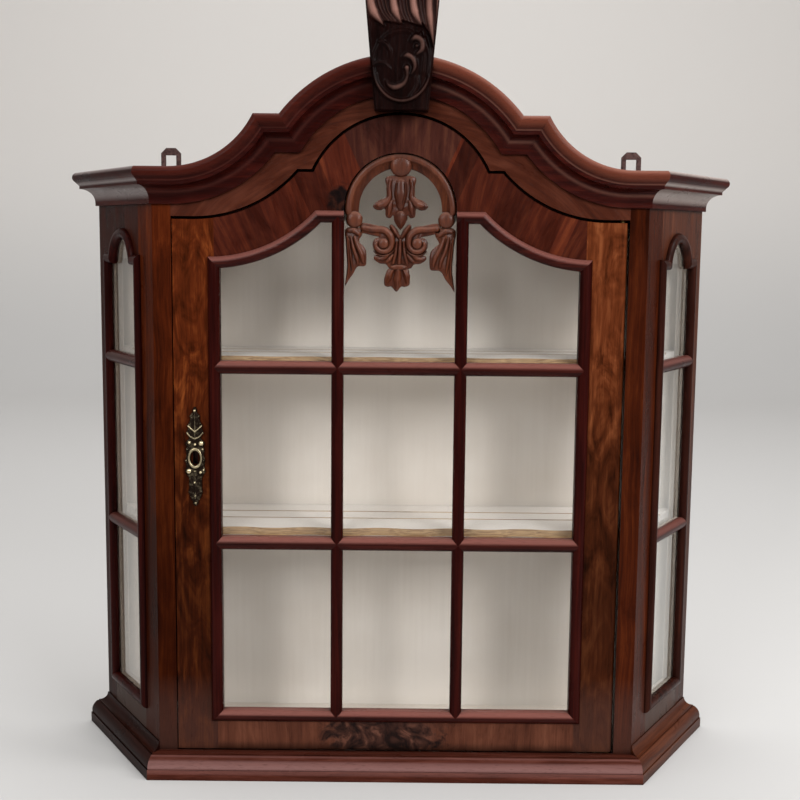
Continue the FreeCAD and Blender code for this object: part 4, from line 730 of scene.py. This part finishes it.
# A solid form with rounded edges: a closed outline brought forward and drawn in at the front
def solidForm(shells, outline, height, base, side=1, centre=(0, 0), steps=5):
    count = len(outline)
    points = [(side * x + centre[0], z + centre[1]) for x, z in outline]
    path = smoothPath(points[-2:] + points + points[:2], steps)[2 * steps:(2 + count) * steps]
    slope = np.roll(path, -1, axis=0) - np.roll(path, 1, axis=0)
    slope /= np.linalg.norm(slope, axis=1)[:, None]
    turned = np.sum(path[:, 0] * np.roll(path[:, 1], -1) - path[:, 1] * np.roll(path[:, 0], -1))
    inward = np.stack([-slope[:, 1], slope[:, 0]], axis=1) * np.sign(turned)
    rows = []
    for inset, share in formProfile:
        rows.append([(x, base - share * height, z) for x, z in path + inset * inward])
    shells.grid(rows)


def carveFretwork():
    s = fretSettings
    lowest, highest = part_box("carved_fretwork")
    base = highest.y / millimetre
    depth = (highest.y - lowest.y) / millimetre
    level = s["ringLevel"]
    shells = Shells()

    def button(key, side=1, height=depth, tall=1.0):
        x, z, radius = s[key]
        boss(shells, side * x, z + level, radius, height, base, tall)

    half = s["ringWidth"] / 2
    middle = s["ringOuter"] - half
    tail = math.radians(s["ringEnd"])
    turns = np.linspace(-tail, math.pi + tail, s["ringSteps"])
    arc = [(middle * math.cos(a), middle * math.sin(a)) for a in turns]
    section = [(-u, share) for u, share in ringSection]
    blade(shells, arc, [half], [s["ringHeight"]], base, section, centre=(0, level))
    button("crown")
    for side in (-1, 1):
        place = {"base": base, "side": side, "centre": (0, level)}
        button("volute", side)
        for path in s["tulip"] + s["underleaf"] + [s["scrollArm"]]:
            blade(shells, *path, **place)
        button("scroll", side, depth - s["scrollBack"])
        scrollX, scrollZ, _ = s["scroll"]
        lip = [(scrollX + s["lipRadius"] * math.cos(a), scrollZ + s["lipRadius"] * math.sin(a))
               for a in np.radians(np.linspace(*s["lipArc"]))]
        blade(shells, lip, *s["lip"], **place)
        blade(shells, *s["innerLeaf"], section=keelSection, **place)
        solidForm(shells, s["armBody"], s["bodyHeight"], **place)
        across, down = s["growth"][side]
        cornerX, cornerZ = s["leafCorner"]

        def grown(points):
            return [(cornerX - (cornerX - x) * across, cornerZ + (z - cornerZ) * down) for x, z in points]

        solidForm(shells, grown(s["leafBody"]), s["bodyHeight"], **place)
        for points, widths, heights in s["acanthus"]:
            blade(shells, grown(points), widths, heights, **place)
    centre = {"base": base, "centre": (0, level)}
    for right in (s["tulipBody"], s["stemBody"]):
        solidForm(shells, right + [(-x, z) for x, z in reversed(right)], s["bodyHeight"], **centre)
    solidForm(shells, s["budBody"], s["bodyHeight"], **centre)
    for path in s["middleForms"]:
        blade(shells, *path, **centre)
    for path in s["keeled"]:
        blade(shells, *path, section=keelSection, **centre)
    button("collar", 1, s["collarHeight"], s["collarTall"])
    shells.piece("fretworkCarving", carvedWood, "door", "carved_fretwork", "carved_wood")


carveFretwork()
print("fretwork is carved")


# Relief carving: heights over a sheet of points, forward of a field
def strokeHeight(x, z, points, widths, height, steps=8):
    path = smoothPath(points, steps)
    widths = np.atleast_1d(widths)
    halves = np.interp(np.linspace(0, 1, len(path)), np.linspace(0, 1, len(widths)), widths)
    best = np.zeros(x.shape)
    for (ax, az), (bx, bz), first, last in zip(path, path[1:], halves, halves[1:]):
        dx, dz = bx - ax, bz - az
        along = np.clip(((x - ax) * dx + (z - az) * dz) / (dx * dx + dz * dz + 1e-9), 0, 1)
        local = first + (last - first) * along
        share = np.hypot(x - ax - along * dx, z - az - along * dz) / local
        best = np.maximum(best, np.sqrt(np.clip(1 - share ** 2, 0, 1) * local / halves.max()))
    return height * best


def soften(values, rounds):
    for _ in range(rounds):
        padded = np.pad(values, 1, mode="edge")
        beside = padded[:-2, 1:-1] + padded[2:, 1:-1] + padded[1:-1, :-2] + padded[1:-1, 2:]
        values = (2 * values + beside) / 6
    return values


def domeHeight(x, z, cx, cz, radius, height):
    return height * np.sqrt(np.clip(1 - ((x - cx) / radius) ** 2 - ((z - cz) / radius) ** 2, 0, 1))


def easing(values, low, high):
    t = np.clip((values - low) / (high - low), 0, 1)
    return t * t * (3 - 2 * t)


# A sheet with a flat back and side walls, its cells left out where they touch the hole
def reliefShells(x, front, z, back, hole):
    rows, columns = x.shape
    solid = ~(hole[:-1, :-1] | hole[1:, :-1] | hole[:-1, 1:] | hole[1:, 1:])
    padded = np.pad(solid, 1)
    numbers = np.arange(rows * columns).reshape(rows, columns)
    away = rows * columns
    shells = Shells()
    shells.points = list(zip(x.ravel(), front.ravel(), z.ravel()))
    shells.points += list(zip(x.ravel(), np.full(away, back), z.ravel()))
    for i, j in np.argwhere(solid):
        corners = (numbers[i, j], numbers[i, j + 1], numbers[i + 1, j + 1], numbers[i + 1, j])
        a, b, c, d = (int(corner) for corner in corners)
        shells.faces.append((a, b, c, d))
        shells.faces.append((a + away, d + away, c + away, b + away))
        besides = (padded[i, j + 1], padded[i + 1, j + 2], padded[i + 2, j + 1], padded[i + 1, j])
        for (p, q), beside in zip(((a, b), (b, c), (c, d), (d, a)), besides):
            if not beside:
                shells.faces.append((q, p, p + away, q + away))
    return shells


# Keystone: a plume of four broad lobes above, a low oval medallion with scrolls below
keySettings = {
    "rows": 200, "columns": 126, "head": 690.0, "footHalf": 23.0, "headHalf": 31.0,
    "crestDip": 6.5, "crestLobe": 20.7, "crestPower": 0.6, "clearance": 0.1,
    "field": -71.0, "plumeField": 1.8, "medallionField": 1.4, "softRounds": 5,
    "oval": (0.0, 637.0), "ovalHalf": (26.0, 31.0), "rimHeight": 3.6, "rim": (0.93, 0.07),
    # share and levels of the rim's fading, then depths and reaches of the cuts and of the plume's lean
    "rimFade": (0.6, 618, 645), "footCut": (2.0, 9, 3), "edgeCut": (1.6, 2.0), "lean": (2.2, 34),
    "leanShare": 0.5,
    # lobe ridges from the crest to their tips with half widths and height
    "ridges": [([(-28, 708), (-27.5, 694), (-24.0, 681), (-15.5, 669.8)], [3.6, 4.2, 4.4, 0.9], 4.6),
               ([(-9.5, 708), (-8.2, 694), (-6.0, 682), (-0.6, 671.6)], [3.4, 3.9, 4.0, 0.9], 4.8),
               ([(7.5, 708), (8.4, 694), (10.6, 681), (16.4, 669.8)], [3.4, 3.9, 4.0, 0.9], 4.8),
               ([(22.5, 708), (22.3, 694), (23.0, 678), (26.4, 654)], [3.2, 3.8, 3.6, 1.0], 4.2),
               ([(29.6, 706), (29.4, 694), (28.8, 674)], [1.6, 1.6, 0.8], 4.0)],
    # fine lines between them: places at the three levels and at the tip, its level, half width and height
    "lineLevels": (708, 694, 682),
    "lines": [(-22.0, -21.4, -17.8, -10.6, 672.5, 0.8, 1.6), (-19.0, -18.2, -15.0, -8.2, 673.0, 0.8, 1.6),
              (-15.8, -14.8, -12.2, -6.0, 673.5, 0.8, 1.8), (-4.4, -3.2, -1.2, 3.0, 673.5, 0.7, 1.6),
              (-1.4, -0.4, 1.6, 5.6, 672.8, 0.7, 1.6), (2.0, 2.8, 4.6, 8.4, 672.0, 0.8, 1.8),
              (13.2, 13.8, 15.4, 18.4, 671.0, 0.8, 1.6), (16.6, 17.0, 18.2, 20.4, 670.4, 0.8, 1.6)],
    # hem of the plume: place across and level
    "hems": [(-31.0, 679.0), (-16.5, 669.6), (-15.4, 673.4), (-2.0, 671.4), (-0.6, 674.2), (15.0, 669.8),
             (16.4, 672.4), (21.0, 666.0), (31.0, 650.0)],
    # scrolls and leaves over the medallion
    "strokes": [
        ([(7, 657.5), (11.5, 660.4), (16.4, 657.6), (17, 651), (12.5, 646.5)],
         [1.6, 3.4, 3.2, 3.0, 2.0], 4.2),
        ([(1.0, 644.5), (5.2, 645.6), (9.6, 642.5), (11, 636), (8, 630)], [1.6, 3.2, 3.0, 2.4, 1.6], 4.2),
        ([(4.4, 634.6), (4.6, 628.6), (2.6, 623.4), (-1.8, 620.2), (-6.4, 619.2), (-10.8, 621), (-13.6, 625)],
         [2.6, 2.2, 2.6, 3.2, 3.2, 2.2, 1.0], 4.0),
        ([(-19.5, 657), (-14, 655.2), (-10.4, 650.4), (-10, 644)], [1.2, 1.8, 1.8, 1.2], 3.0),
        ([(-25, 637), (-20.5, 639.6), (-15.5, 639.2), (-10, 635)], [1.2, 1.8, 1.8, 1.2], 3.0),
        ([(-22, 631), (-20.5, 623), (-16, 616.5)], 1.6, 2.0), ([(13, 628), (13, 620), (8, 612)], 2.0, 2.2),
        ([(19, 660), (22.4, 646), (21.4, 630)], 1.6, 2.4), ([(15.6, 664), (18.8, 648), (18, 632)], 1.4, 2.2)],
    "bosses": [(4.2, 635.4, 2.8, 4.6), (12.4, 653.4, 2.4, 3.6)],
    # the keystone is dark below and lighter on its plume above, painted light from above, and its most
    # forward parts carry a lighter colour, a painted highlight
    "look": {**tones((14, 5, 4), (30, 11, 9), (48, 22, 17)), "specular": 0.04,
             "shift": (0.3, 0.9, 0.5), "upwardHighlight": None,
             "toneAndShadeByHeight": {"foot": 0.664, "head": 0.676, "drift": 0.0, "stops": [(0.0, 0.45), (1.0, 1.1)]},
             "wearAndHighlight": {"reach": (-0.0734, -0.0778), "share": 0.72, "colour": tone(158, 114, 102)}},
}


def carveKeystone():
    s = keySettings
    lowest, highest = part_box("keystone")
    foot, crestLevel = lowest.z / millimetre, highest.z / millimetre - s["clearance"]
    u, v = np.meshgrid(np.linspace(-1, 1, s["columns"]), np.linspace(0, 1, s["rows"]))
    lobes = np.abs(np.cos(math.pi * u * s["headHalf"] / s["crestLobe"])) ** s["crestPower"]
    crest = crestLevel - s["crestDip"] * (1 - lobes)
    z = foot + v * (crest - foot)
    half = s["footHalf"] + (s["headHalf"] - s["footHalf"]) * np.clip((z - foot) / (s["head"] - foot), 0, 1)
    x = u * half
    # medallion, its rim strongest below
    away = np.hypot((x - s["oval"][0]) / s["ovalHalf"][0], (z - s["oval"][1]) / s["ovalHalf"][1])
    height = s["medallionField"] * np.clip(1 - away ** 2, 0, 1) ** 0.5
    rimAway, rimHalf = s["rim"]
    fadeShare, *fadeLevels = s["rimFade"]
    rim = np.sqrt(np.clip(1 - ((away - rimAway) / rimHalf) ** 2, 0, 1))
    rim *= 1 - fadeShare * easing(z, *fadeLevels)
    height = np.maximum(height, s["rimHeight"] * rim)
    for points, width, rise in s["strokes"]:
        height = np.maximum(height, strokeHeight(x, z, points, width, rise))
    for cx, cz, radius, rise in s["bosses"]:
        height = np.maximum(height, domeHeight(x, z, cx, cz, radius, rise))
    # foot below the medallion is cut back
    cut, cutLevel, cutReach = s["footCut"]
    height = soften(height - cut * easing(foot + cutLevel - z, 0, cutReach) * (away > 1), s["softRounds"])
    # plume, leaning forward towards its hem
    hemX, hemZ = zip(*s["hems"])
    above = z - np.interp(x, hemX, hemZ)
    most, leanReach = s["lean"]
    lean = most * np.clip((crestLevel - z) / leanReach, 0, 1)
    plume = np.where(above > 0, s["plumeField"] + lean * s["leanShare"], 0)
    for *places, tip, width, rise in s["lines"]:
        points = list(zip(places, (*s["lineLevels"], tip)))
        plume = np.maximum(plume, (above > 0) * (s["plumeField"] + strokeHeight(x, z, points, width, rise)))
    for points, widths, rise in s["ridges"]:
        ridge = strokeHeight(x, z, points, widths, 1.0)
        plume = np.maximum(plume, (rise + lean) * ridge)
    height = np.maximum(height, soften(plume, 1))
    cut, cutReach = s["edgeCut"]
    height -= cut * (1 - easing((1 - np.abs(u)) * half, 0, cutReach))
    front = np.maximum(s["field"] - height, lowest.y / millimetre + s["clearance"])
    shells = reliefShells(x, front, z, highest.y / millimetre, np.zeros(x.shape, bool))
    keystoneWood = walnut("keystoneWalnut", {**carvedLook, **s["look"]})
    shells.piece("keystoneCarving", keystoneWood, "carcass", "keystone", "carved_wood")


carveKeystone()
print("keystone is carved")


# Escutcheon: half widths at heights from the key level, then knobs and veins over them
escutcheonSettings = {
    "centre": (-181.5, 296.3), "rows": 190, "columns": 48, "field": -48.7, "hole": (4.0, 6.6), "dome": 0.9,
    "rimWidth": 1.5, "rimFlat": 1.35, "rimHeight": 2.0, "rimHalf": 0.24,
    "look": {"relief": (-0.0500, -0.0512), "dark": tone(34, 26, 21), "bright": tone(226, 208, 168),
             "blotch": 0.003, "roughness": (0.5, 0.22)},
    "outline": [(-43.3, 0.8), (-41.6, 2.5), (-39.4, 2.2), (-37.2, 4.1), (-34.6, 5.0), (-31, 6.4),
                (-27.5, 5.5), (-23, 5.8), (-18.6, 5.5), (-15.1, 7.3), (-12.4, 9.2), (-9.7, 8.3),
                (-7.1, 7.8), (-2.7, 8.8), (2.7, 7.6), (7.1, 8.2), (10.6, 7.4), (13.3, 8.8), (15.5, 7.5),
                (17.7, 5.0), (20.4, 5.8), (23, 7.6), (25.7, 6.6), (27.5, 5.6), (29.7, 6.8), (31.9, 5.1),
                (35.4, 3.9), (38.1, 4.4), (41.2, 2.0), (43.4, 1.9), (46.0, 0.8)],
    "knobs": [(-5.0, 14.1, 2.0, 2.4), (0, 12.4, 1.7, 2.4), (5.6, 13.5, 2.7, 2.8), (-7.8, -2.1, 1.2, 1.9),
              (7.5, -2.1, 1.2, 1.7), (6.8, 8.2, 1.6, 2.0), (-7.0, 8.0, 1.4, 1.6), (-5.6, -11.8, 2.7, 2.8),
              (-0.3, -11.1, 1.7, 2.4), (4.8, -12.8, 1.8, 2.5), (7.6, -10.6, 1.4, 2.3),
              (-0.6, -22.1, 1.4, 2.3), (0, -34.5, 1.7, 1.8), (0, 42.8, 1.7, 2.2), (0, -40.8, 1.7, 1.9),
              (-3.8, 38, 1.0, 1.5), (3.8, 38, 1.0, 1.6), (4.8, 31.7, 1.0, 1.7), (-4.4, 31.8, 1.0, 1.3),
              (1.0, 24.8, 1.2, 2.2)],
    "veins": [([(0, 24), (-3, 26.4), (-6.0, 29.2)], 1.0, 2.0),
              ([(0, 17.5), (-4, 19.5), (-7.0, 23)], 1.0, 1.8),
              ([(0, 40), (0, 30), (0, 18)], 1.1, 1.5), ([(0, -16), (0, -28), (0, -39)], 1.1, 1.4),
              ([(0, -27), (-3, -24), (-5.2, -19)], 0.9, 1.2),
              ([(0, -34), (-3.4, -31.5), (-5.8, -31)], 0.9, 1.2),
              ([(0, 33), (-2, 35), (-3.4, 37)], 0.8, 1.1)],
}


def carveEscutcheon():
    s = escutcheonSettings
    levels, halves = zip(*s["outline"])
    rows = np.linspace(levels[0], levels[-1], s["rows"])
    u, z = np.meshgrid(np.linspace(-1, 1, s["columns"]), rows)
    x = u * np.interp(z, levels, halves)
    height = s["dome"] * np.sqrt(np.clip(1 - u ** 2, 0, 1))
    for points, width, rise in s["veins"]:
        for side in (-1, 1):
            turned = [(side * a, b) for a, b in points]
            height = np.maximum(height, strokeHeight(x, z, turned, width, rise))
    for cx, cz, radius, rise in s["knobs"]:
        height = np.maximum(height, domeHeight(x, z, cx, cz, radius, rise))
    holeX, holeZ = s["hole"]
    away = np.hypot(x / holeX, z / holeZ)
    rim = np.hypot(x / (holeX + s["rimWidth"]), z / (holeZ + s["rimWidth"]))
    height = np.where(rim < s["rimFlat"], np.minimum(height, s["dome"]), height)
    rimShare = np.sqrt(np.clip(1 - ((rim - 1) / s["rimHalf"]) ** 2, 0, 1))
    front = s["field"] - np.maximum(height, s["rimHeight"] * rimShare)
    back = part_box("escutcheon_plate")[1].y / millimetre
    shells = reliefShells(x + s["centre"][0], front, z + s["centre"][1], back, away < 1)
    reliefBrass = wornMetal("reliefBrass", s["look"])
    shells.piece("escutcheonCasting", reliefBrass, "door", "escutcheon_plate", "antique_brass")


carveEscutcheon()
print("escutcheon is cast")


# Studio: pale floor rising into a far backdrop, soft lamps and the camera of the photograph
stageSettings = {"halfWidth": 6.0, "front": -5.0, "bend": 2.6, "bendRadius": 0.9, "bendSteps": 16,
                 "height": 4.5, "floor": tone(188, 187, 186), "wall": tone(235, 231, 227), "wallLevel": 1.0,
                 "fore": tone(150, 149, 148), "foreReach": (-0.2, -0.9), "roughness": 0.9, "specular": 0.1}


def makeStage():
    s = stageSettings
    profile = [(s["front"], 0.0), (s["bend"], 0.0)]
    for step in range(1, s["bendSteps"] + 1):
        angle = step / s["bendSteps"] * math.pi / 2
        profile.append((s["bend"] + s["bendRadius"] * math.sin(angle),
                        s["bendRadius"] * (1 - math.cos(angle))))
    profile.append((profile[-1][0], s["height"]))
    points = [(side * s["halfWidth"], y, z) for y, z in profile for side in (-1, 1)]
    faces = [(2 * i, 2 * i + 1, 2 * i + 3, 2 * i + 2) for i in range(len(profile) - 1)]
    mesh = bpy.data.meshes.new("stageFloor")
    mesh.from_pydata(points, [], faces)
    mesh.shade_smooth()
    material, place = newMaterial("stagePale")
    split = axes(place)
    share = spread(split[2], 0.0, s["wallLevel"], smooth=True)
    colour = mixColour(share, s["floor"], s["wall"])
    # the floor is darker towards the front, painted shade standing for a dim room in front
    fore = spread(split[1], *s["foreReach"], smooth=True)
    colour = mixColour(fore, colour, s["fore"])
    mesh.materials.append(closeMaterial(material, coat(colour, s["roughness"], specular=s["specular"])))
    floor = addObject("stageFloor", mesh)


makeStage()

# The room is brightest overhead and dims towards the front
worldSettings = {"up": 1.05, "level": 0.34, "front": 0.3, "upReach": (0.0, 0.75), "frontReach": (-0.9, -0.2),
                 "colour": (1.0, 0.985, 0.965, 1)}


def makeWorld():
    s = worldSettings
    world = bpy.data.worlds.new("softRoom")
    world.use_nodes = True
    tree = world.node_tree
    tree.nodes.clear()
    split = axes(addNode(tree, "TexCoord", {}).outputs["Generated"])
    sky = spread(split[2], *s["upReach"], s["level"], s["up"], True)
    front = spread(split[1], *s["frontReach"], s["front"], 1.0, True)
    back = feed("Background", {"Color": s["colour"], "Strength": calc("MULTIPLY", sky, front)})
    addNode(tree, "OutputWorld", {0: back})
    bpy.context.scene.world = world


makeWorld()

# Each lamp has its place, the point that it aims at, its size and its power
lampSettings = {
    "keyLamp": ((1.5, -2.0, 1.4), (0, 0, 0.35), 1.0, 40),
    "fillLamp": ((-1.2, -2.2, 1.5), (0, 0, 0.3), 1.2, 29),
    "topLamp": ((0.0, 0.1, 2.2), (0, 0, 0.3), 1.0, 12),
    "windowLamp": ((1.5, -0.4, 1.7), (0.1, 0, 0.5), 0.9, 16),
    "backdropLamp": ((0.0, 1.5, 2.8), (0, 3.3, 1.0), 2.0, 17),
}
for lampName, (place, aim, size, power) in lampSettings.items():
    data = bpy.data.lights.new(lampName, "AREA")
    data.shape = "SQUARE"
    data.size = size
    data.energy = power
    made = addObject(lampName, data)
    made.location = place
    made.rotation_euler = (Vector(aim) - Vector(place)).to_track_quat("-Z", "Y").to_euler()

cameraSettings = {"place": (0.00149, -1.16421, 0.49573), "yaw": -0.00028, "pitch": 0.12948, "roll": -0.00968,
                  "lens": 56.943, "sensor": 36.0, "nearest": 0.05, "farthest": 50}


def makeCamera():
    s = cameraSettings
    yaw, pitch, roll = (s[key] for key in ("yaw", "pitch", "roll"))
    ahead = Vector((math.sin(yaw) * math.cos(pitch), math.cos(yaw) * math.cos(pitch), -math.sin(pitch)))
    right = Vector((math.cos(yaw), -math.sin(yaw), 0))
    up = right.cross(ahead)
    leanRight = math.cos(roll) * right - math.sin(roll) * up
    leanUp = math.sin(roll) * right + math.cos(roll) * up
    matrix = Matrix((leanRight, leanUp, -ahead)).transposed().to_4x4()
    matrix.translation = s["place"]
    data = bpy.data.cameras.new("photoCamera")
    data.lens = s["lens"]
    data.sensor_fit = "HORIZONTAL"
    data.sensor_width = s["sensor"]
    data.clip_start = s["nearest"]
    data.clip_end = s["farthest"]
    made = addObject("photoCamera", data)
    made.matrix_world = matrix
    bpy.context.scene.camera = made


makeCamera()
bpy.context.scene.view_settings.view_transform = "Standard"
print("stage, lamps and camera are set")
